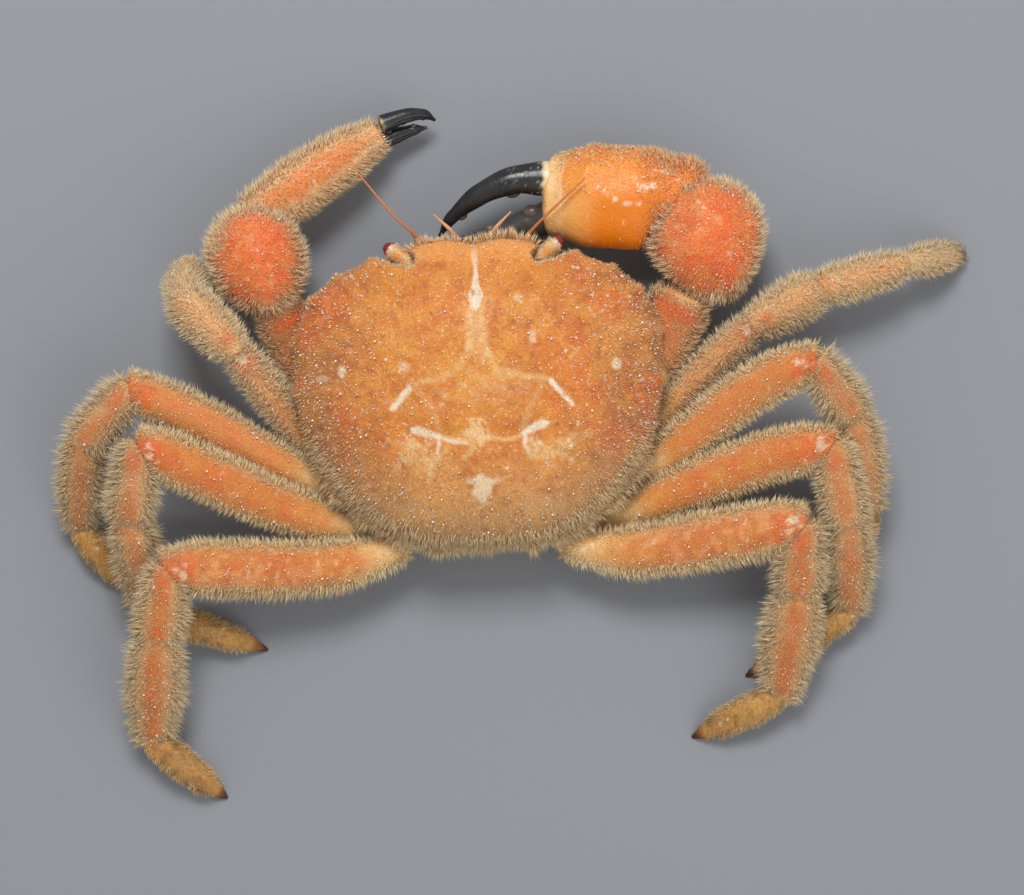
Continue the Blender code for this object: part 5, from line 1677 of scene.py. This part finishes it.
def build_wrist(side, at):
    claw = CLAWS[side]
    heading = math.radians(claw["wrist_heading"])
    heading = math.pi - heading if side == "right" else heading
    skin = ellipsoid_skin(at["wrist"], claw["wrist_axes"], heading, taper=0.14)
    for place, normal in (
        (at["arm_end"] + at["elbow_normal"] * (GAP / 2), -at["elbow_normal"]),
        (at["hand_start"] - at["wrist_normal"] * (GAP / 2), at["wrist_normal"]),
    ):
        beyond = np.maximum(dot(skin.points - place, normal), 0)
        skin.points = skin.points - normal * (beyond * 0.8)[..., None]
    skin.settle()
    rough = 0.3 * noise(skin.points, 4.5, 160) + 0.09 * fractal(skin.points, 1.6, 3, 161)
    skin.swell(rough + 0.06 * np.maximum(0, noise(skin.points, 0.6, 162)))
    away = (skin.points - at["wrist"]) / np.array(claw["wrist_axes"])
    bare = 0.78 if side == "right" else 0.68
    ragged = 0.2 * fractal(skin.points, 1.4, 2, 163)
    rim = smooth(bare, 1.02, np.linalg.norm(away[..., :2], axis=-1) + ragged)
    patchy = fractal(skin.points, 1.9, 3, 164)
    paint = mix(colour(242, 118, 50), colour(236, 146, 66), 0.4 + 0.45 * patchy)
    if side == "left":
        paint = mix(paint, RED_ORANGE, 0.35)
    paint = layered(
        paint,
        (PINK_BRISTLE, 0.3 * smooth(0.1, 0.6, noise(skin.points, 0.8, 165))),
        (BROWN_ORANGE, 0.4 * smooth(0.1, 0.6, noise(skin.points, 0.6, 167))),
        (colour(238, 96, 20), 0.6 * smooth(0.0, 0.5, noise(skin.points, 1.7, 168))),
        (TAN, 0.7 * rim),
        (CREAM, 0.6 * smooth(0.0, -0.6, away[..., 2])),
    )
    skin.paint = mix(paint, SPECK, 0.7 * speckle(skin.points, 0.9, 0.18, 166))
    skin.rim = rim
    # Painted shade between the wrist's bristles.
    skin.depth = 0.6
    return skin


# Worn white scratches on the right palm: the path and its half widths.
SCUFFS = (
    ([(-16.9, -27.4), (-18.4, -26.2), (-20.2, -25.1), (-22.6, -25.0)], (0.1, 0.14, 0.12, 0.2)),
    ([(-22.8, -27.0), (-24.6, -27.3)], (0.45, 0.3)),
    ([(-24.8, -29.3), (-27.2, -28.8)], (0.12, 0.2)),
    ([(-24.0, -30.3), (-24.4, -29.2)], (0.25, 0.12)),
)


def build_palm(side, at):
    claw = CLAWS[side]
    widths = even_stops(claw["hand_half_widths"])
    thick = [(share, value * claw["hand_thickness"]) for share, value in widths]
    start = at["hand_start"] + at["hand_aim"] * (GAP / 2)
    tube = Tube(straight(start, at["hand_end"], sag=0.3), widths, thick, at["wrist_normal"])
    skin = lofted(tube, 110, 84, 0.75 if side == "right" else 0.5, 0.22)
    share, c, s = skin.round()
    big = side == "right"
    front = c if big else -c
    patchy, fine = fractal(skin.points, 2.6, 3, 171), fractal(skin.points, 0.7, 2, 172)
    ridge = bump(front, 0.1, 0.16) * np.maximum(s, 0) - 0.6 * bump(front, -0.35, 0.14)
    knobs = np.maximum(0, noise(skin.points, 0.9, 173)) * smooth(0.3, 0.8, front)
    ridge = 0.1 * ridge * smooth(0.05, 0.3, share)
    skin.swell(0.1 * fractal(skin.points, 2.4, 3, 174) + ridge + 0.16 * knobs)
    if big:
        red = 0.5 * smooth(-0.1, 0.6, patchy) + 0.35 * smooth(0.3, 0.0, share)
        paint = mix(BRIGHT_ORANGE, RED_ORANGE, red)
        inner = smooth(0.2, -0.15, front + 0.12 * patchy)
        paint = layered(
            paint,
            (colour(218, 118, 4), 0.95 * inner),
            (mix(YELLOW_ORANGE, CREAM, 0.3), 0.75 * inner * smooth(0.5, 0.88, share + 0.05 * patchy)),
            (mix(ORANGE, PINK_BRISTLE, 0.45), 0.55 * smooth(0.45, 0.95, front)),
            (RED_ORANGE, 0.5 * smooth(0.0, 0.5, fine) * smooth(0.0, 0.4, front)),
        )
        worn = smooth(-0.35, 0.1, noise(skin.points, 0.45, 177)) * (s > 0)
        for path, half_widths in SCUFFS:
            paint = mix(paint, WHITE, 0.6 * worn * stroke(skin.points, path, half_widths, 0.12, 0.9))
        cream = smooth(0.84, 0.95, share + 0.05 * patchy) * (0.5 + 0.5 * smooth(-0.5, 0.2, front))
        line = bump(share - 0.9 + 0.02 * fine + 0.02 * patchy, 0, 0.01)
        paint = mix(paint, CREAM, 0.75 * cream)
        paint = mix(paint, WHITE, 0.35 * line * smooth(-0.2, 0.2, fine))
    else:
        paint = mix(ORANGE, RED_ORANGE, 0.3 + 0.4 * patchy)
        paint = mix(paint, TAN, 0.1 + 0.75 * smooth(0.3, 0.75, np.abs(c) + 0.2 * fine))
        paint = mix(paint, TAN, 0.5 * smooth(0.7, 0.95, share))
    paint = mix(paint, CREAM, 0.5 * smooth(-0.1, -0.7, s))
    skin.paint = mix(paint, SPECK, 0.6 * speckle(skin.points, 0.95, 0.12, 176))
    return skin


def finger_tube(points, half_widths):
    stops = even_stops(half_widths)
    return Tube(curve(points), stops, [(share, value * 0.85) for share, value in stops])


def build_finger(side, key):
    """One finger of a claw, fluted along its length, with the paint darkening from its root."""
    claw = CLAWS[side]
    points = [on_side(p, side) for p in claw[f"{key}_line"]]
    tube = finger_tube(points, claw[f"{key}_half_widths"])
    skin = lofted(tube, 100, 48, 0.15, 0.7)
    share, angle = skin.share, skin.angle
    fluted = bump(np.abs(np.sin(angle - 0.5)), 0.35, 0.13) * smooth(0.06, 0.2, share)
    big = side == "right"
    depth = 0.12 if big else 0.07
    skin.swell(-depth * fluted * smooth(1.0, 0.75, share) + 0.015 * fractal(skin.points, 0.8, 3, 181))
    dark = BLACK if key == "finger" or not big else DARK_GREY
    paint = mix(dark, colour(58, 54, 54), 0.35 * smooth(-0.1, 0.7, fractal(skin.points, 1.4, 3, 182)))
    if key == "finger" and big:
        frost = speckle(skin.points, 0.55, 0.75, 183) * smooth(0.42, 0.05, share)
        frost = frost * smooth(-0.2, 0.5, np.sin(angle))
        paint = mix(paint, colour(214, 206, 196), 0.7 * frost)
        collar = smooth(0.07, 0.03, share + 0.02 * noise(skin.points, 0.6, 184))
        paint = mix(paint, mix(CREAM, WHITE, 0.3), 0.9 * collar)
    else:
        edge = 0.04 if not big else 0.16
        tone = mix(KHAKI, TAN, 0.5) if not big else CREAM
        paint = mix(paint, tone, smooth(edge, edge - 0.14, share + 0.05 * noise(skin.points, 0.7, 185)))
    skin.paint = paint
    return skin, tube


def build_teeth(side, tube, other):
    """The blunt teeth along a finger's biting edge."""
    claw = CLAWS[side]
    middle = np.array((0.5,))
    _, across, over = (axis[0] for axis in tube.axes(middle))
    towards = (other.line(middle) - tube.line(middle))[0]
    angle = math.atan2(towards @ over, towards @ across)
    made = []
    for i in range(2):
        share = np.array((0.28 + 0.42 * i,))
        centre = tube.points(share, np.array((angle,)))[0, 0]
        inward = unit(centre - tube.line(share)[0])
        size = claw["tooth_size"] * (1 - 0.25 * i)
        skin = ellipsoid_skin(centre - inward * size * 0.35, (size, size * 1.2, size), 0.0, 20, 24)
        skin.swell(0.04 * size * fractal(skin.points, 0.6, 3, 191))
        skin.paint = mix(MOLAR_GREY, colour(88, 76, 72), 0.5 + 0.5 * fractal(skin.points, 0.7, 2, 192))
        made.append(skin)
    return made


KHAKI_TIP = mix(KHAKI, PALE_BRISTLE, 0.55)


def arm_coat(coat, arm):
    """Bristles along both edges of the arm, and velvet on its top."""
    grow = coat.on(arm, 0)
    _, c, s = arm.round()
    inside = smooth(0.0, 0.06, arm.share) * smooth(1.04, 1.0, arm.share)
    edge = smooth(0.6, 0.95, np.abs(c))
    density = inside * (9 + 8 * edge) * (1 - 0.6 * smooth(0.0, -0.5, s))
    tips = mix(mix(arm.paint, PINK_BRISTLE, 0.5), KHAKI_TIP, 0.4 + 0.4 * edge)
    lie = arm.lie + 0.5 * sideways(arm)
    grow(density, 0.6 + 0.9 * edge, (20, 50), arm.paint, tips, 0.05, lie=lie, tuft=0.4)
    velvet = 14 * inside * smooth(-0.2, 0.3, s)
    grow(velvet, 0.45, (18, 44), arm.paint, tips, 0.048, 1, lie=lie, frost=0.25)
    silt(coat, arm, 0, inside * smooth(0.0, 0.5, s))


def wrist_coat(coat, wrist, at):
    """The wrist's shaggy rim round its shorter velvet."""
    grow = coat.on(wrist, 1)
    along = unit(at["hand_start"] - at["wrist"])
    radial = unit((wrist.points - at["wrist"]) * LEVEL)
    swirl = radial * 0.8 + along * 0.7
    shaggy = wrist.rim
    high = smooth(-0.5, 0.1, wrist.normals[..., 2])
    density = (5 + 9 * shaggy) * (0.2 + 0.8 * high)
    tips = mix(mix(wrist.paint, PINK_BRISTLE, 0.5), mix(KHAKI_TIP, PALE_BRISTLE, 0.4), 0.35 + 0.6 * shaggy)
    length = 0.55 + 1.1 * shaggy
    roots = mix(wrist.paint, COOL_TAN, 0.4 * shaggy)
    grow(density, length, (14, 38), roots, tips, 0.054, lie=swirl, tuft=0.7)
    tips = mix(wrist.paint, PINK_BRISTLE, 0.3)
    grow(19 * high, 0.45 + 0.4 * shaggy, (15, 40), wrist.paint, tips, 0.047, 1, lie=swirl, frost=0.4)
    silt(coat, wrist, 1, 0.8 * smooth(0.2, 0.6, wrist.normals[..., 2]))


def hand_coat(coat, side, palm):
    """Shaggy all over on the left hand; on the right one only at its outer edge and its root."""
    grow = coat.on(palm, 2)
    _, c, s = palm.round()
    wrist_end = smooth(0.32, 0.1, palm.share)
    if side == "left":
        edge = smooth(0.4, 0.85, np.abs(c))
        density = (7 + 9 * edge) * (1 - 0.5 * smooth(0.0, -0.5, s))
        length = 0.6 + 0.9 * edge + 0.3 * wrist_end
        inside = smooth(-0.05, 0.0, palm.share)
        velvet = 16 * inside
    else:
        edge = smooth(0.35, 0.9, c)
        inside = smooth(-0.05, 0.0, palm.share) * smooth(1.0, 0.9, palm.share)
        density = (11 * edge + 8 * wrist_end) * (1 - 0.5 * smooth(0.0, -0.5, s))
        length = 0.4 + 0.3 * edge + 0.8 * wrist_end
        velvet = 16 * inside * smooth(-0.1, 0.25, c)
    density = density * inside
    pale = np.maximum((0.75 if side == "left" else 0.4) * edge, 0.6 * wrist_end)
    tips = mix(mix(palm.paint, PINK_BRISTLE, 0.4), KHAKI_TIP, pale)
    lie = palm.lie + 0.7 * sideways(palm)
    grow(density, length, (16, 42), palm.paint, tips, 0.05, lie=lie, tuft=0.7)
    tips = mix(mix(palm.paint, PINK_BRISTLE, 0.35), PALE_BRISTLE, 0.15)
    grow(velvet, 0.38, (22, 48), palm.paint, tips, 0.045, 1, lie=lie, frost=0.3)
    silt(coat, palm, 2, 0.9 * inside * smooth(0.0, 0.4, s) * smooth(-0.3, 0.2, c if side == "right" else s))


def build_claw(side):
    at = claw_frame(side)
    arm, wrist, palm = build_arm(side, at), build_wrist(side, at), build_palm(side, at)
    finger, finger_line = build_finger(side, "finger")
    thumb, thumb_line = build_finger(side, "thumb")
    name = f"claw_{side}"
    skin_piece(f"shell_{name}_arm", [arm], FINISH["leg"], "leg_orange", f"{name}_arm")
    skin_piece(f"shell_{name}_wrist", [wrist], FINISH["leg"], "claw_orange", f"{name}_wrist")
    skin_piece(f"shell_{name}_hand", [palm], FINISH["claw"], "claw_orange", f"{name}_hand")
    teeth = build_teeth(side, thumb_line, finger_line)
    skin_piece(f"shell_{name}_thumb", [thumb, *teeth], FINISH["finger"], "finger_black")
    teeth = build_teeth(side, finger_line, thumb_line)
    skin_piece(f"shell_{name}_finger", [finger, *teeth], FINISH["finger"], "finger_black", f"{name}_finger")
    coat = Coat(f"coat_{name}", 3)
    arm_coat(coat, arm)
    wrist_coat(coat, wrist, at)
    hand_coat(coat, side, palm)
    coat.finish(FINISH["bristle"], "claw_orange")


# Building it all


def carapace_coat(top):
    """Short felt all over the carapace, longer on its rear margin and in the hollows of the eyes."""
    felt = Coat("coat_carapace", 2)
    grow = felt.on(top, 0)
    x, y = top.points[..., 0], top.points[..., 1]
    outward = unit(np.stack([x, y + 2.0, 0 * x], axis=-1) + np.array((0, 0.35, 0)))
    sides = smooth(0.55, 0.95, top.share)
    density = 13.5 + 1.5 * smooth(4.0, 16.0, y) + 1.5 * smooth(10.0, 22.0, np.abs(x))
    swirl = np.stack([noise(top.points, 2.4, 51), noise(top.points, 2.4, 52), 0 * x], axis=-1)
    outward = unit(outward + 0.9 * swirl)
    length = 0.26 + 0.14 * smooth(6.0, 18.0, np.hypot(x, y)) + 0.25 * sides * smooth(-12.0, 6.0, y)
    far = smooth(0.5, 1.0, top.share) * smooth(-4.0, 12.0, y)
    tips = mix(mix(top.paint, PINK_BRISTLE, 0.25), mix(KHAKI, PALE_BRISTLE, 0.7), 0.1 + 0.6 * far)
    grow(density, length, (16, 46), top.paint * 0.9, tips, 0.049, 1, lie=outward, clump=0.5, frost=0.18)
    margin = smooth(0.9, 0.97, top.share) * smooth(8.8, 10.2, outline_place(top.angle))
    roots, tips = mix(top.paint, KHAKI, 0.8), mix(KHAKI, PALE_BRISTLE, 0.5)
    level = unit(top.normals * LEVEL) + UP * 0.25
    grow(16 * margin, 1.5, (20, 50), roots, tips, 0.055, lie=level, tuft=0.6)
    grow(14 * margin, 0.9, (15, 50), roots, tips, 0.052, 1, lie=level, tuft=0.3)
    pale = mix(CREAM, PALE_BRISTLE, 0.6)
    roots = mix(top.paint, pale, 0.6)
    grow(16 * top.hollow, 0.8, (20, 60), roots, pale, 0.042, 1, lie=UP - outward, tuft=0.5)
    flank = smooth(8.0, 20.0, np.abs(x) + 2.0 * noise(top.points, 5.0, 48))
    silt(felt, top, 0, (0.4 + 1.0 * flank + 0.3 * smooth(6.0, 14.0, y)) * smooth(1.0, 0.97, top.share))
    felt.finish(FINISH["bristle"], "shell_orange")


def body_coat(rim, belly, stubs, stalks):
    """The fringe below the carapace's edge, and the hair of the underside, the limb stubs and the eyes."""
    fringe = Coat("coat_body_fringe", 14)
    grow = fringe.on(rim, 0)
    place = outline_place(rim.angle)
    behind = smooth(8.8, 10.2, place)
    brow = smooth(3.2, 2.4, place)
    side_edge = smooth(4.0, 5.0, place) * (1 - behind)
    level = smooth(-0.05, 0.08, rim.share) * smooth(0.9, 0.7, rim.share)
    ragged = 0.85 + 0.35 * noise(rim.points * LEVEL, 1.6, 49)
    density = level * (24 * behind + 17 * brow * ragged + 6 * side_edge)
    length = (2.9 * behind + 1.6 * brow + 0.5 * side_edge) * ragged
    outward = unit(rim.normals * LEVEL)
    lie = outward + UP * (0.5 * behind + 0.3 * brow)[..., None]
    tips = mix(rim.paint, mix(KHAKI, PALE_BRISTLE, 0.6), 0.3 + 0.6 * np.maximum(behind, brow))
    roots = mix(rim.paint, KHAKI, 0.7 * behind + 0.5 * brow)
    grow(density, length, (14, 36), roots, tips, 0.058, lie=lie, tuft=0.8)
    density = level * (18 * behind + 12 * brow + 8 * side_edge)
    length = 0.35 + 1.4 * behind + 0.4 * brow
    grow(density, length, (14, 30), roots, tips, 0.052, 1, lie=lie, tuft=0.3)
    for number, stalk in enumerate(stalks):
        hairy = smooth(0.0, 0.1, stalk.share) * smooth(0.86, 0.78, stalk.share)
        tips = mix(stalk.paint, PALE_BRISTLE, 0.6)
        fringe.grow(stalk, 12 + number, 34 * hairy, 0.55, (15, 45), stalk.paint, tips, 0.035, 1)
    z = belly.points[..., 2]
    slopes = smooth(3.0, 6.0, z) * smooth(0.0, 0.12, belly.share) * smooth(0.55, 0.4, belly.share)
    muzzle = smooth(-9.0, -13.0, belly.points[..., 1])
    density = slopes * (3 + 7 * muzzle)
    down = np.broadcast_to(-UP, belly.points.shape)
    tips = mix(belly.paint, PALE_BRISTLE, 0.45)
    fringe.grow(belly, 1, density, 0.75 + 0.5 * muzzle, (45, 62), belly.paint * 0.85, tips, 0.05, lie=down)
    for number, stub in enumerate(stubs):
        outer = smooth(0.45, 0.7, stub.share) * smooth(1.0, 0.94, stub.share)
        density = outer * (3 + 5 * smooth(0.6, 0.95, np.abs(np.cos(stub.angle))))
        tips = mix(stub.paint, PALE_BRISTLE, 0.5)
        fringe.grow(stub, 2 + number, density, 0.6, (40, 60), stub.paint * 0.9, tips, 0.048)
    fringe.finish(FINISH["bristle"], "underside_cream")


def build_body():
    top, rim = build_carapace()
    skin_piece("shell_carapace", [top, rim], FINISH["carapace"], "shell_orange", "carapace")
    belly = build_belly()
    stubs = build_stubs()
    skin_piece("shell_underside", [belly, *stubs], FINISH["pale"], "underside_cream", "underside")
    tail = build_tail()
    skin_piece("shell_abdomen", [tail], FINISH["pale"], "underside_cream", "abdomen")
    stalks = []
    for side in SIDES:
        mouthpart = build_mouthpart(side)
        name = f"mouthpart_{side}"
        skin_piece(f"shell_{name}", [mouthpart], FINISH["pale"], "underside_cream", name)
        stalk, cornea = build_eye(side)
        skin_piece(f"eye_stalk_{side}", [stalk], FINISH["leg"], "leg_orange", f"eye_{side}")
        stalks.append(stalk)
        skin_piece(f"eye_cornea_{side}", [cornea], FINISH["eye"], "eye_red")
        for kind in ("antenna", "antennule"):
            skin = build_feeler(kind, side)
            skin_piece(f"shell_{kind}_{side}", [skin], FINISH["feeler"], "feeler_pink", f"{kind}_{side}")
    carapace_coat(top)
    body_coat(rim, belly, stubs, stalks)


def build_legs():
    for number in LEG_LENGTHS:
        for side in SIDES:
            skins = build_leg(number, side)
            coat = Coat(f"coat_leg{number}_{side}", 4)
            for tile_number, (article, skin) in enumerate(skins.items()):
                name = f"leg{number}_{side}_{article}"
                foot = article == "dactylus"
                finish, slot = (FINISH["foot"], "foot_yellow") if foot else (FINISH["leg"], "leg_orange")
                skin_piece(f"shell_{name}", [skin], finish, slot, name)
                leg_coat(coat, skin, tile_number, number, side, article)
            coat.finish(FINISH["bristle"], "leg_orange")


# Stage


def plain_material(name, screen, roughness):
    made, _, shader = new_material(name, roughness, 0.3)
    shader.inputs["Base Color"].default_value = (*colour(*screen), 1)
    return made


FLOOR_REACH = 1500.0
FLOOR_Z = -0.03


def build_stage():
    half = FLOOR_REACH * MM
    corners = [(x * half, y * half, FLOOR_Z * MM) for x, y in ((-1, -1), (1, -1), (1, 1), (-1, 1))]
    mesh = bpy.data.meshes.new("floor")
    mesh.from_pydata(corners, [], [(0, 1, 2, 3)])
    mesh.materials.append(plain_material("floor_grey", (136, 139, 145), 0.8))
    floor = bpy.data.objects.new("floor", mesh)
    bpy.context.scene.collection.objects.link(floor)


# Where both lights point, in metres.
LIGHT_TARGET = Vector((0, 0, 0.01))


def add_area_light(name, place, size, power):
    light = bpy.data.lights.new(name, "AREA")
    light.size = size
    light.energy = power
    made = bpy.data.objects.new(name, light)
    made.location = place
    made.rotation_euler = (LIGHT_TARGET - Vector(place)).to_track_quat("-Z", "Y").to_euler()
    bpy.context.scene.collection.objects.link(made)


def build_lights():
    scene = bpy.context.scene
    scene.world = bpy.data.worlds.new("studio")
    scene.world.use_nodes = True
    background = scene.world.node_tree.nodes["Background"]
    background.inputs["Color"].default_value = (1.0, 0.98, 0.95, 1)
    background.inputs["Strength"].default_value = 0.5
    add_area_light("key", (0.03, -0.32, 0.53), 0.2, 2.7)
    add_area_light("fill", (-0.3, 0.3, 0.42), 0.5, 0.95)
    scene.view_settings.view_transform = "Standard"


# The camera's sensor and height, the picture's width in dots and the size of a dot on the floor.
SENSOR_WIDTH = 36
CAMERA_HEIGHT = 420
PICTURE_WIDTH = 1024
DOT_SIZE = 0.1377
CAMERA_PLACE = (-0.00414, 0.00698, CAMERA_HEIGHT * MM)
CAMERA_RIGHT = Vector((-0.9993, 0.0384, 0)).normalized()
CAMERA_UP = Vector((-0.0384, -0.9993, 0)).normalized()


def build_camera():
    """Looks straight down, with the crab's front at the top of the picture."""
    data = bpy.data.cameras.new("camera")
    data.sensor_width = SENSOR_WIDTH
    data.lens = SENSOR_WIDTH * CAMERA_HEIGHT / (PICTURE_WIDTH * DOT_SIZE)
    data.clip_start = 0.01
    camera = bpy.data.objects.new("camera", data)
    turned = camera.matrix_world.copy()
    columns = (CAMERA_RIGHT, CAMERA_UP, CAMERA_RIGHT.cross(CAMERA_UP), CAMERA_PLACE)
    for row in range(3):
        for column, vector in enumerate(columns):
            turned[row][column] = vector[row]
    camera.matrix_world = turned
    bpy.context.scene.collection.objects.link(camera)
    bpy.context.scene.camera = camera


build_camera()
build_lights()
build_stage()
build_body()
build_legs()
for claw_side in SIDES:
    build_claw(claw_side)
